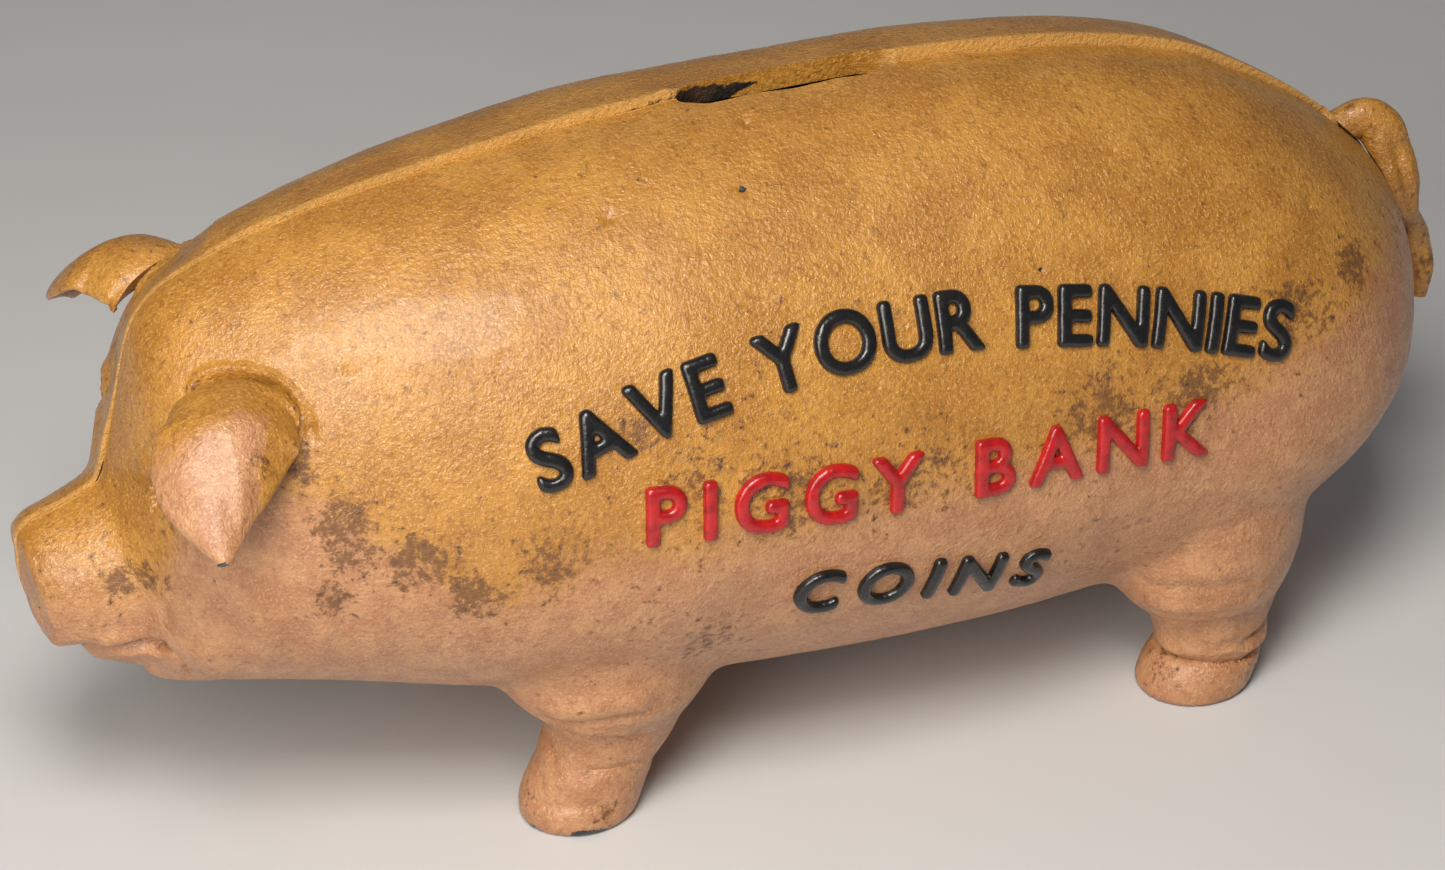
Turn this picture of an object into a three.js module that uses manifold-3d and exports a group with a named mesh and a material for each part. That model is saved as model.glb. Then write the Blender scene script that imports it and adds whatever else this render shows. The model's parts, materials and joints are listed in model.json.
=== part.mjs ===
// A cast iron coin bank in the shape of a fat standing pig, in millimetres, +Z up.
// The pig faces -X and its left flank faces -Y. The origin is on the floor, in the middle of its box.
//
// Two hollow castings, the left and right halves, meet on the pig's middle plane (Y = 0). Two long slotted
// screws go in through the right flank and turn into tapped posts in the left half. The ears are separate
// castings with a tang in a hole in the head, and the tail is one whose peg is clamped between the halves.
import * as THREE from "three";
import { mergeVertices } from "three/addons/utils/BufferGeometryUtils.js";
import Module from "manifold-3d";

const wasm = await Module();
wasm.setup();

// ---------------------------------------------------------------- driving dimensions
const bodyLength = 298; // snout to rump, without the tail
const bodyHeight = 141; // floor to the top of the back
const bodyBreadth = 121; // flank to flank
const snoutX = -153; // where the snout starts, so that snout to tail is centred on the origin
const wall = 4.2; // thickness of the castings
const partingGap = 0.3; // between the two halves' faces
const fitGap = 0.3; // between a piece and the seat it rests in

// Each foot's place, and its leg's rings: height, how far the ring's centre lies behind the foot's, radius.
const frontFoot = {
  x: -55,
  y: 33,
  rings: [
    [0, 0, 11.5], [2, 0.5, 12.4], [6, 1.5, 12.9], [10, 3.5, 13], [15, 6, 13.4], [20, 8.5, 14.2],
    [24, 9, 16], [28, 8.5, 20], [33, 8, 23], [46, 9, 23.5], [62, 11, 20],
  ],
};
const rearFoot = {
  x: 83,
  y: 41,
  rings: [
    [0, 0, 11.8], [2, 0.2, 12.8], [7, 2.5, 12.9], [10, 4, 12], [14, 4, 12.4], [19, 3, 13.6],
    [24, 1.5, 17.5], [30, 1, 20.5], [38, 1.5, 22], [48, 2, 21.5], [62, 2, 17],
  ],
};
const legNarrowness = 0.88; // a leg's width across the pig, as a share of its width along it
const legLean = 5; // the top of a leg leans this far inwards

const slotLength = 48;
const slotWidth = 7.2;
const slotX = 5; // centre of the coin slot
const slotY = -0.8; // most of it is cut from the left half
const slotFrontTaper = 5; // length of the narrowing at each end
const slotRearTaper = 9;

const beadHeight = 1; // the right half's edge stands this proud along the back
const beadWidth = 2.6;
const noseBeadHeight = 0.5; // and over the snout and forehead

const postRadius = 7.5;
const screwRadius = 3;
const screwClearance = 0.35; // around the shank in the right half
const threadGap = 0.3; // around the shank in the left post
const threadDepth = 24; // how far a screw reaches past the parting face
const headRadius = 6;
const headHeight = 3.4;
const headSunk = 1.2; // crown of the head below the flank's surface
const driverSlotWidth = 1.6;
const driverSlotDepth = 1.6;
const posts = { front: { x: -72, z: 76 }, rear: { x: 76, z: 78 } };

const lugRadius = 6;
const pegRadius = 2.2;
const pegLength = 4;
const pegClearance = 0.4;
const lugs = { throat: { x: -116, z: 46 }, rump: { x: 118, z: 97 } };

const tangRadius = 4; // the ear's root in the wall of the head
const tailPegRadius = 3;
const tailPegDepth = 9;

const eyeRadius = 2.4;
const eyeProud = 0.6;
const nostrilRadius = 1.7;
const nostrilDepth = 2;
const mouthAboveChin = 5;
const mouthLength = 17;
const mouthHeight = 1.4;
const mouthDepth = 2;

// ---------------------------------------------------------------- materials
const tanPaint = new THREE.MeshStandardMaterial({ color: 0xc08f4c, roughness: 0.4, metalness: 0.1 });
const screwSteel = new THREE.MeshStandardMaterial({ color: 0x6d655b, roughness: 0.5, metalness: 0.9 });

// ---------------------------------------------------------------- small helpers
const halfBreadth = bodyBreadth / 2;
const halfGap = partingGap / 2;
const far = 400; // larger than the whole pig
const yAxis = new THREE.Vector3(0, 1, 0);

// A closed geometry as a manifold-3d solid.
function solid(geometry) {
  const bare = geometry.clone();
  bare.deleteAttribute("normal");
  bare.deleteAttribute("uv");
  const merged = mergeVertices(bare, 1e-3);
  return new wasm.Manifold(
    new wasm.Mesh({
      numProp: 3,
      vertProperties: merged.attributes.position.array,
      triVerts: new Uint32Array(merged.index.array),
    }),
  );
}

// A solid as a named mesh.
function part(name, body, material) {
  const made = body.getMesh();
  const geometry = new THREE.BufferGeometry();
  geometry.setAttribute("position", new THREE.BufferAttribute(made.vertProperties, 3));
  geometry.setIndex(new THREE.BufferAttribute(made.triVerts, 1));
  const mesh = new THREE.Mesh(geometry, material);
  mesh.name = name;
  return mesh;
}

// A box between two corners.
function box(low, high) {
  const size = high.map((h, k) => h - low[k]);
  const geometry = new THREE.BoxGeometry(...size);
  geometry.translate(...high.map((h, k) => (h + low[k]) / 2));
  return solid(geometry);
}

// A round bar from one point to another.
function bar(radius, from, to, sides = 24) {
  const start = new THREE.Vector3(...from);
  const along = new THREE.Vector3(...to).sub(start);
  const geometry = new THREE.CylinderGeometry(radius, radius, along.length(), sides);
  geometry.applyQuaternion(new THREE.Quaternion().setFromUnitVectors(yAxis, along.clone().normalize()));
  geometry.translate(...start.addScaledVector(along, 0.5).toArray());
  return solid(geometry);
}

// A smooth line through (at, value) pairs that never overshoots between two of them.
function lineThrough(at, value) {
  const slope = at.slice(1).map((a, i) => (value[i + 1] - value[i]) / (a - at[i]));
  const tangent = at.map((_, i) => {
    if (i === 0) return slope[0];
    if (i === at.length - 1) return slope[i - 1];
    const product = slope[i - 1] * slope[i];
    return product <= 0 ? 0 : (2 * product) / (slope[i - 1] + slope[i]);
  });
  return (x) => {
    const i = Math.min(Math.max(at.findIndex((a) => a > x) - 1, 0), at.length - 2);
    const last = x >= at[at.length - 1] ? at.length - 2 : i;
    const span = at[last + 1] - at[last];
    const t = (x - at[last]) / span;
    return (
      value[last] * (1 + 2 * t) * (1 - t) ** 2 +
      tangent[last] * span * t * (1 - t) ** 2 +
      value[last + 1] * t ** 2 * (3 - 2 * t) +
      tangent[last + 1] * span * t ** 2 * (t - 1)
    );
  };
}

// A sphere whose rings are set one by one: place(share, turn, open) gives a point of the ring at that share
// of the way from one end to the other, and open is 0 at the middle of the two end caps.
function loft(around, along, place) {
  const geometry = new THREE.SphereGeometry(1, around, along);
  const position = geometry.getAttribute("position");
  for (let i = 0; i < position.count; i++) {
    const row = Math.floor(i / (around + 1));
    const column = i % (around + 1);
    const share = THREE.MathUtils.clamp((row - 1) / (along - 2), 0, 1);
    const open = row === 0 || row === along ? 0 : 1;
    const p = place(share, ((column % around) / around) * 2 * Math.PI, open);
    position.setXYZ(i, p.x, p.y, p.z);
  }
  const made = solid(geometry);
  if (made.volume() > 0) return made;
  geometry.index.array.reverse(); // the rings run the other way, so turn the faces over
  return solid(geometry);
}

// A limb along a curve, oval in section. Its width lies along `across`, and cup bends its edges down.
function limb(curve, across, halfWidth, halfThick, cup, around, along) {
  return loft(around, along, (share, turn, open) => {
    const tangent = curve.getTangent(share);
    const side = across.clone().addScaledVector(tangent, -across.dot(tangent)).normalize();
    const up = new THREE.Vector3().crossVectors(side, tangent);
    const s = Math.cos(turn) * halfWidth(share) * open;
    const h = Math.sin(turn) * halfThick(share) * open - cup * s * s;
    return curve.getPoint(share).addScaledVector(side, s).addScaledVector(up, h);
  });
}

// ---------------------------------------------------------------- the pig's lines
// Each station: place along the body, height of the back, height of the belly, half breadth and height of
// the widest point, as per cent of the body's length, height, height, half breadth and height. Lean tips a
// station forward at the top, as the snout's disc does.
const stations = [
  { at: 0, back: 51.8, belly: 33.3, side: 20.7, widest: 42.6, lean: -0.24 }, // snout disc
  { at: 0.7, back: 53.2, belly: 31.9, side: 24, widest: 42.6, lean: -0.24 },
  { at: 2.7, back: 55.3, belly: 29.8, side: 28, widest: 42.6, lean: -0.2 },
  { at: 4.9, back: 57.8, belly: 27.7, side: 31, widest: 43.3, lean: -0.1 }, // foot of the brow
  { at: 5.4, back: 65.2, belly: 26.6, side: 34.5, widest: 44, lean: -0.03 },
  { at: 5.9, back: 74.5, belly: 26, side: 41, widest: 46, lean: 0 },
  { at: 7, back: 81.2, belly: 26, side: 49, widest: 47.5, lean: 0 },
  { at: 9.1, back: 85.8, belly: 26, side: 57.5, widest: 49, lean: 0 }, // crown
  { at: 13.1, back: 89.7, belly: 24.8, side: 66, widest: 50.7, lean: 0 },
  { at: 19.8, back: 93.6, belly: 21.6, side: 78, widest: 52, lean: 0 }, // neck
  { at: 29.9, back: 97.2, belly: 17, side: 92.6, widest: 51.4, lean: 0 },
  { at: 43.3, back: 100, belly: 13.5, side: 100, widest: 49.6, lean: 0 },
  { at: 60, back: 100, belly: 11, side: 99.2, widest: 48, lean: 0 },
  { at: 71.8, back: 98, belly: 12, side: 98, widest: 46.8, lean: 0 },
  { at: 82, back: 93, belly: 15.2, side: 96.7, widest: 46.8, lean: 0 }, // hams
  { at: 88.6, back: 85.8, belly: 22.3, side: 89.3, widest: 48, lean: 0 },
  { at: 94.6, back: 76.6, belly: 32.3, side: 68.6, widest: 49.6, lean: 0 },
  { at: 98.3, back: 68, belly: 41, side: 39.7, widest: 51.8, lean: 0 },
  { at: 100, back: 58.2, belly: 48.6, side: 14, widest: 52.5, lean: 0 }, // rump
];
const stationNumber = stations.map((_, i) => i);
const line = (key, full) => lineThrough(stationNumber, stations.map((s) => (s[key] / 100) * full));
const lines = {
  x: line("at", bodyLength),
  back: line("back", bodyHeight),
  belly: line("belly", bodyHeight),
  side: line("side", halfBreadth),
  widest: line("widest", bodyHeight),
  lean: line("lean", 100),
};

// The body's shape grown outwards by growAt(station number), or shrunk where that is negative.
function bodySolid(growAt, around, ringsPerStation = 2) {
  const rings = (stations.length - 1) * ringsPerStation;
  return loft(around, rings + 2, (share, turn, open) => {
    const n = share * (stations.length - 1);
    const grow = growAt(n);
    const stretch = 1 + (2 * grow) / bodyLength;
    const [widest, side] = [lines.widest(n), lines.side(n) + grow];
    const rise = lines.back(n) + grow - widest;
    const fall = widest - lines.belly(n) + grow;
    const up = Math.sin(turn) * (Math.sin(turn) > 0 ? rise : fall) * open;
    const x = snoutX + bodyLength / 2 + (lines.x(n) - bodyLength / 2) * stretch + lines.lean(n) * up;
    return new THREE.Vector3(x, Math.cos(turn) * side * open, widest + up);
  });
}
const evenly = (grow) => () => grow;

// The station number at a place along the body, and the section's half breadth at a height there.
function stationAt(x) {
  let [low, high] = [0, stations.length - 1];
  while (high - low > 1e-4) {
    const middle = (low + high) / 2;
    if (snoutX + lines.x(middle) < x) low = middle;
    else high = middle;
  }
  return low;
}
function flankAt(x, z) {
  const n = stationAt(x);
  const widest = lines.widest(n);
  const reach = z > widest ? lines.back(n) - widest : widest - lines.belly(n);
  return lines.side(n) * Math.sqrt(Math.max(0, 1 - ((z - widest) / reach) ** 2));
}
const backAt = (x) => lines.back(stationAt(x));

// ---------------------------------------------------------------- legs, eyes, snout
function leg(foot, side) {
  const [height, back, radius] = [0, 1, 2].map((k) => foot.rings.map((ring) => ring[k]));
  const behind = lineThrough(height, back);
  const girth = lineThrough(height, radius);
  const top = height[height.length - 1];
  return loft(18, 15, (share, turn, open) => {
    const z = top * share ** 1.3; // more rings near the hoof
    const r = girth(z) * open;
    const y = side * (foot.y - (legLean * z) / top) + legNarrowness * r * Math.sin(turn);
    return new THREE.Vector3(foot.x + behind(z) + r * Math.cos(turn), y, z);
  });
}

function eye(side) {
  const [x, z] = [snoutX + 0.066 * bodyLength, 0.645 * bodyHeight];
  const ball = new THREE.SphereGeometry(eyeRadius, 12, 8);
  ball.translate(x, side * (flankAt(x, z) + eyeProud - eyeRadius), z);
  return solid(ball);
}

function nostril(side) {
  const z = 0.415 * bodyHeight;
  const y = side * 0.5 * lines.side(0);
  return bar(nostrilRadius, [snoutX - 4, y, z - 0.5], [snoutX + nostrilDepth, y, z], 12);
}

// A shallow groove round the snout, between the disc and the jaw.
function mouth() {
  const z = lines.belly(0) + mouthAboveChin;
  const slice = box([snoutX - 4, -far, z], [snoutX + mouthLength, far, z + mouthHeight]);
  return slice.subtract(bodySolid(evenly(-mouthDepth), 32));
}

// ---------------------------------------------------------------- ears and tail
const earRoot = new THREE.Vector3(snoutX + 34, 26, 0.766 * bodyHeight);
const earLine = [[4, -5, -6], [-0.5, 2, 1.5], [-3.5, 8.5, 1.5], [-7.5, 15.5, -3.5], [-11, 22, -10], [-13, 28, -16]];
function earPath(side) {
  return new THREE.CatmullRomCurve3(
    earLine.map(([x, y, z]) => new THREE.Vector3(earRoot.x + x, side * (earRoot.y + y), earRoot.z + z)),
  );
}
function tangLine(side) {
  const inside = [earRoot.x + 3, side * (earRoot.y - 8), earRoot.z - 9];
  const outside = [earRoot.x - 1, side * (earRoot.y + 3), earRoot.z + 1.5];
  return [inside, outside];
}
function ear(side) {
  const halfWidth = lineThrough([0, 0.2, 0.45, 0.7, 0.9, 1], [10.5, 12.8, 14, 11, 5, 1.2]);
  const halfThick = lineThrough([0, 0.3, 0.8, 1], [3.4, 3, 2.2, 1]);
  const across = new THREE.Vector3(0.95, 0.2 * side, -0.05);
  const blade = limb(earPath(side), across, halfWidth, halfThick, 0.02 * side, 18, 14);
  const [inside, outside] = tangLine(side);
  return blade.subtract(bodySolid(evenly(fitGap), 32)).add(bar(tangRadius, inside, outside, 20));
}
const earSocket = (side) => bar(tangRadius + fitGap, ...tangLine(side), 20);

const tailRoot = new THREE.Vector3(snoutX + 0.953 * bodyLength, 0, 0.755 * bodyHeight);
const tailPegInner = [tailRoot.x - tailPegDepth, 0, tailRoot.z - 0.6 * tailPegDepth];
const tailLine = [
  [-3, 0, -5], [3.5, 0, -2.5], [7.5, -1, -1.5], [11, -3, -4], [12.5, -5, -9.5], [14, -7.5, -15.5],
  [16, -8, -21.5], [18, -6, -24.5], [20.5, -4, -28], [22.5, -3.5, -33.5], [23.5, -4.5, -39.5], [23, -6, -46],
];
function tail() {
  const path = new THREE.CatmullRomCurve3(
    tailLine.map(([x, y, z]) => new THREE.Vector3(tailRoot.x + x, y, tailRoot.z + z)),
  );
  const halfThick = lineThrough([0, 0.18, 0.36, 0.55, 0.64, 0.8, 0.92, 1], [3.6, 3.6, 3.2, 2.4, 2.2, 2.6, 2.4, 1.2]);
  const halfWidth = lineThrough([0, 0.18, 0.3, 0.38, 0.46, 0.58, 0.66, 0.82, 0.92, 1], [3.6, 4.6, 5.1, 5.2, 4.4, 2.6, 2.4, 3, 2.7, 1.3]);
  const curl = limb(path, new THREE.Vector3(0, 1, 0), halfThick, halfWidth, 0, 14, 30);
  return curl.subtract(bodySolid(evenly(fitGap), 32)).add(bar(tailPegRadius, tailPegInner, tailRoot.toArray(), 18));
}
function tailSocket() {
  const past = 4; // the hole runs on past both ends of the peg
  const slope = 0.6;
  const inner = [tailPegInner[0] - past, 0, tailPegInner[2] - slope * past];
  const mouth = [tailRoot.x + past, 0, tailRoot.z + slope * past];
  return bar(tailPegRadius + fitGap, inner, mouth, 18);
}

// ---------------------------------------------------------------- screws
const headSeat = (post) => flankAt(post.x, post.z) - headSunk - headHeight; // Y of the head's underside
function screw(post) {
  const seat = headSeat(post);
  const tip = -halfGap - threadDepth;
  const chamfer = 1;
  const profile = [
    [0, tip], [screwRadius - chamfer, tip], [screwRadius, tip + chamfer], [screwRadius, seat],
    [headRadius, seat], [headRadius, seat + 0.35 * headHeight], [0.82 * headRadius, seat + 0.72 * headHeight],
    [0.45 * headRadius, seat + 0.94 * headHeight], [0, seat + headHeight],
  ];
  const turned = new THREE.LatheGeometry(profile.map(([r, y]) => new THREE.Vector2(r, y)), 28);
  turned.translate(post.x, 0, post.z);
  const half = driverSlotWidth / 2;
  const cut = box(
    [post.x - far, seat + headHeight - driverSlotDepth, post.z - half],
    [post.x + far, far, post.z + half],
  );
  return solid(turned).subtract(cut);
}

// ---------------------------------------------------------------- the two castings
function slot() {
  const end = slotLength / 2;
  const [front, rear] = [slotFrontTaper - end, end - slotRearTaper];
  const [full, narrow] = [slotWidth / 2, slotWidth / 6];
  const corners = [
    [-end, -narrow], [front, -full], [rear, -full], [end, -narrow],
    [end, narrow], [rear, full], [front, full], [-end, narrow],
  ];
  const outline = new THREE.Shape(corners.map(([x, y]) => new THREE.Vector2(slotX + x, slotY + y)));
  const geometry = new THREE.ExtrudeGeometry(outline, { depth: 40, bevelEnabled: false });
  geometry.translate(0, 0, backAt(slotX) - 30);
  return solid(geometry);
}

// A strip of the back's surface between two planes, standing proud by the bead's height.
function bead(fromX, toX, inner, outer) {
  const slab = box([fromX, inner, lines.back(0) - 4], [toX, outer, far]);
  const proud = lineThrough([0, 5, 9, stations.length - 1], [noseBeadHeight, noseBeadHeight, beadHeight, beadHeight]);
  return bodySolid(proud, 32).subtract(bodySolid(evenly(-0.5 * wall), 32, 1)).intersect(slab);
}
function backBead() {
  const [start, end] = [snoutX + 5, tailRoot.x - 4];
  const [slotStart, slotEnd] = [slotX - slotLength / 2 - 3, slotX + slotLength / 2 + 3];
  const besideSlot = slotY + slotWidth / 2;
  return bead(start, slotStart, halfGap, beadWidth)
    .add(bead(slotEnd, end, halfGap, beadWidth))
    .add(bead(slotStart, slotEnd, halfGap, besideSlot + beadWidth));
}

// The pig's outer shape, whole, and the chamber inside it.
const outer = [frontFoot, rearFoot].reduce(
  (body, foot) => body.add(leg(foot, -1)).add(leg(foot, 1)),
  bodySolid(evenly(0), 32).add(eye(-1)).add(eye(1)),
).subtract(nostril(-1)).subtract(nostril(1)).subtract(mouth());
const chamber = bodySolid(evenly(-wall), 24, 1);

function casting(side) {
  const inner = side * halfGap;
  const [low, high] = side < 0 ? [-far, inner] : [inner, far];
  const myside = box([-far, low, -far], [far, high, far]);
  // Posts for the screws and lugs for the pegs run from the parting face into the wall.
  const inside = [...Object.values(posts).map((p) => [p, postRadius]), ...Object.values(lugs).map((p) => [p, lugRadius])]
    .map(([p, r]) => bar(r, [p.x, 0, p.z], [p.x, side * flankAt(p.x, p.z), p.z]))
    .reduce((all, b) => all.add(b))
    .intersect(outer);
  let body = outer.subtract(chamber).add(inside);
  if (side > 0) body = body.add(backBead());
  body = body.intersect(myside).subtract(slot()).subtract(tailSocket()).subtract(earSocket(side));
  for (const post of Object.values(posts)) {
    if (side < 0) {
      const depth = threadDepth + 3;
      body = body.subtract(bar(screwRadius + threadGap, [post.x, 1, post.z], [post.x, -depth, post.z]));
    } else {
      const seat = headSeat(post) - fitGap;
      body = body.subtract(bar(screwRadius + screwClearance, [post.x, -1, post.z], [post.x, far, post.z]));
      body = body.subtract(bar(headRadius + fitGap, [post.x, seat, post.z], [post.x, far, post.z]));
    }
  }
  for (const lug of Object.values(lugs)) {
    if (side < 0) {
      body = body.add(bar(pegRadius, [lug.x, -2, lug.z], [lug.x, pegLength, lug.z], 16));
    } else {
      const hole = pegRadius + pegClearance;
      body = body.subtract(bar(hole, [lug.x, -1, lug.z], [lug.x, pegLength + 1, lug.z], 16));
    }
  }
  return body;
}

const pig = new THREE.Group();
pig.add(part("left_half", casting(-1), tanPaint));
pig.add(part("right_half", casting(1), tanPaint));
pig.add(part("left_ear", ear(-1), tanPaint));
pig.add(part("right_ear", ear(1), tanPaint));
pig.add(part("tail", tail(), tanPaint));
pig.add(part("front_screw", screw(posts.front), screwSteel));
pig.add(part("rear_screw", screw(posts.rear), screwSteel));

export default pig;
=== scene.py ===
# %% [markdown]
# # A cast iron pig bank
# The real bank is a fat pig, cast as a hollow left half and a hollow right half. Two long screws pull the
# halves together, and each ear and the curled tail is a small casting of its own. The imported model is
# loaded first: it says where each piece is and what moves, so the looks can be built straight on top of
# it.

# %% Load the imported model
import json
import math

import bpy
import numpy as np
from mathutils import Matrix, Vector, noise
from mathutils.kdtree import KDTree

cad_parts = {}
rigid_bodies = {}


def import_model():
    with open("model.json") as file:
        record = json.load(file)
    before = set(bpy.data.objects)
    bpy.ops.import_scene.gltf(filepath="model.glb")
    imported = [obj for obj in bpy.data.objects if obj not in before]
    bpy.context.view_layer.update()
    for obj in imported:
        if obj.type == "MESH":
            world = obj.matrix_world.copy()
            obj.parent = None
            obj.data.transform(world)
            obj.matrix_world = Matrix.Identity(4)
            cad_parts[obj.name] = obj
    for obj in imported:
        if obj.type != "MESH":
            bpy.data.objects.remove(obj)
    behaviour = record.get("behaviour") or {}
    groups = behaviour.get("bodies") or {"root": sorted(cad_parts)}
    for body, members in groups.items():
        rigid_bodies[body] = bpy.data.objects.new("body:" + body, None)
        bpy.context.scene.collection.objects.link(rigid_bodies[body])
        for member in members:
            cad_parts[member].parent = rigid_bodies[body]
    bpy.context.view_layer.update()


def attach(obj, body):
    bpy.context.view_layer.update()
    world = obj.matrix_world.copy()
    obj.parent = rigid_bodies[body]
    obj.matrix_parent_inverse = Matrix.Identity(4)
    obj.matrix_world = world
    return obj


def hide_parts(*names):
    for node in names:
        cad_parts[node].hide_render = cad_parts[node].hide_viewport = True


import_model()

MM = 0.001

# %% [markdown]
# ## Camera
# A long lens from above the pig's left shoulder shows the whole flank, the back and the head together. A
# long lens also keeps the legs and the back in their true proportion.

# %% Place the camera
AIM = Vector((-9, 0, 60)) * MM
AZIMUTH, ELEVATION = math.radians(-22.5), math.radians(32)
DISTANCE = 850 * MM
LENS = 102

back_to_camera = Vector((
    math.sin(AZIMUTH) * math.cos(ELEVATION),
    -math.cos(AZIMUTH) * math.cos(ELEVATION),
    math.sin(ELEVATION),
))
camera = bpy.data.objects.new("camera", bpy.data.cameras.new("camera"))
bpy.context.scene.collection.objects.link(camera)
camera.data.lens = LENS
camera.location = AIM + back_to_camera * DISTANCE
camera.rotation_mode = "QUATERNION"
camera.rotation_quaternion = (-back_to_camera).to_track_quat("-Z", "Y")
bpy.context.scene.camera = camera
bpy.context.scene.view_settings.view_transform = "Standard"
print("camera at", [round(v, 3) for v in camera.location])

# %% [markdown]
# ## Helpers
# Operators act on everything that is selected, so each one is preceded by selecting a single object. A
# modifier that is applied at once works like a tool in a workshop: it is used, and only its result stays.

# %% Selecting, applying and joining
def to_mode(mode):
    bpy.ops.object.mode_set(mode=mode)


def deselect():
    bpy.ops.object.select_all(action="DESELECT")


def select_only(obj):
    if bpy.context.object and bpy.context.object.mode != "OBJECT":
        to_mode("OBJECT")
    deselect()
    obj.select_set(True)
    bpy.context.view_layer.objects.active = obj


def apply_modifier(obj, kind, **settings):
    select_only(obj)
    modifier = obj.modifiers.new(kind.lower(), kind)
    for name, value in settings.items():
        setattr(modifier, name, value)
    bpy.ops.object.modifier_apply(modifier=modifier.name)


def combine(obj, other, operation):
    """Joins, cuts or intersects obj with another closed object, which is used up."""
    apply_modifier(obj, "BOOLEAN", object=other, operation=operation, solver="MANIFOLD")
    bpy.data.objects.remove(other)


def add(obj, other):
    combine(obj, other, "UNION")


def cut(obj, tool):
    combine(obj, tool, "DIFFERENCE")


def duplicate(obj, name):
    copy = obj.copy()
    copy.data = obj.data.copy()
    copy.name = name
    bpy.context.scene.collection.objects.link(copy)
    return copy


def bake_place(obj, name):
    """Names the piece and moves its place into its mesh, so that the object sits at the origin."""
    obj.name = name
    select_only(obj)
    bpy.ops.object.transform_apply(location=True, rotation=True, scale=True)
    return obj


def get_points(obj):
    co = np.empty(len(obj.data.vertices) * 3)
    obj.data.vertices.foreach_get("co", co)
    return co.reshape(-1, 3) / MM


def set_points(obj, points):
    obj.data.vertices.foreach_set("co", (points * MM).ravel())
    obj.data.update()


def get_normals(obj):
    normals = np.empty(len(obj.data.vertices) * 3)
    obj.data.vertex_normals.foreach_get("vector", normals)
    return normals.reshape(-1, 3)


def face_count(obj):
    return len(obj.data.polygons)


def shade_smooth(obj, degrees):
    """Smooth shading, with a hard edge wherever two faces meet at more than the angle."""
    select_only(obj)
    bpy.ops.object.shade_smooth_by_angle(angle=math.radians(degrees))


# %% [markdown]
# ## The pig's lines
# A pig is easiest to draft like a boat: stations along the body, each with the height of the back and of
# the belly, the half breadth and the height where the body is widest. A smooth line through each column
# gives the body between the stations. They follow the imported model's stations, with the face's moved a
# little.

# %% Stations and smooth lines
def smooth_line(at, value):
    """A curve through the points that never overshoots between two of them."""
    at, value = np.array(at, float), np.array(value, float)
    slope = np.diff(value) / np.diff(at)
    product = slope[:-1] * slope[1:]
    mean = np.divide(2 * product, slope[:-1] + slope[1:], out=np.zeros_like(product), where=product > 0)
    tangent = np.concatenate([slope[:1], mean, slope[-1:]])

    def line(x):
        x = np.asarray(x, float)
        i = np.clip(np.searchsorted(at, x, side="right") - 1, 0, len(at) - 2)
        span = at[i + 1] - at[i]
        t = (x - at[i]) / span
        start = value[i] * (1 + 2 * t) * (1 - t) ** 2 + tangent[i] * span * t * (1 - t) ** 2
        end = value[i + 1] * t**2 * (3 - 2 * t) + tangent[i + 1] * span * t**2 * (t - 1)
        return start + end

    return line


BODY_LENGTH, BODY_HEIGHT, HALF_BREADTH = 298, 141, 60.5
SNOUT_X = -153
# place along the body, back, belly, half breadth, widest (per cent of length, height, half breadth), lean
STATIONS = np.array([
    (-0.7, 51.8, 33.3, 20.7, 42.6, -16),
    (0.2, 53.2, 31.9, 24, 42.6, -17),
    (2.5, 54.8, 29.8, 28, 42.6, -16),
    (4.9, 57.8, 27.7, 31, 43.3, -10),
    (5.5, 65.2, 26.6, 34.5, 44, -3),
    (6.2, 74.5, 26, 41, 46, 0),
    (7.2, 81.2, 26, 49, 47.5, 0),
    (9.1, 85.8, 26, 57.5, 49, 0),
    (13.1, 89.7, 24.8, 66, 50.7, 0),
    (19.8, 93.6, 21.6, 78, 52, 0),
    (29.9, 97.2, 17, 92.6, 51.4, 0),
    (43.3, 100, 13.5, 100, 49.6, 0),
    (60, 100, 11, 99.2, 48, 0),
    (71.8, 98, 12, 98, 46.8, 0),
    (82, 93, 15.2, 96.7, 46.8, 0),
    (88.6, 85.8, 22.3, 89.3, 48, 0),
    (94.6, 76.6, 32.3, 68.6, 49.6, 0),
    (98.3, 68, 41, 39.7, 51.8, 0),
    (100, 58.2, 48.6, 14, 52.5, 0),
]) / 100
LAST = len(STATIONS) - 1
order = np.arange(LAST + 1)
SIZES = (BODY_LENGTH, BODY_HEIGHT, BODY_HEIGHT, HALF_BREADTH, BODY_HEIGHT, 1)
line_x, line_back, line_belly, line_side, line_widest, line_lean = (
    smooth_line(order, column * size) for column, size in zip(STATIONS.T, SIZES)
)

fine = np.linspace(0, LAST, 4000)
fine_x = SNOUT_X + line_x(fine)


def station_at(x):
    return np.interp(x, fine_x, fine)


def back_at(x):
    return line_back(station_at(x))


def flank_at(x, z):
    """How far the body's skin is from the middle plane, at a place along it and a height."""
    n = station_at(x)
    widest = line_widest(n)
    reach = np.where(z > widest, line_back(n) - widest, widest - line_belly(n))
    return line_side(n) * np.sqrt(np.clip(1 - ((z - widest) / reach) ** 2, 0, None))


print("back over the shoulder:", round(float(back_at(-60)), 1), "mm high")

# %% [markdown]
# ## The body
# The body starts as a sphere with many rings. Its poles become the snout's disc and the rump, and each
# ring between them is laid on the lines at its own station. A negative growth gives the chamber inside.

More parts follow.
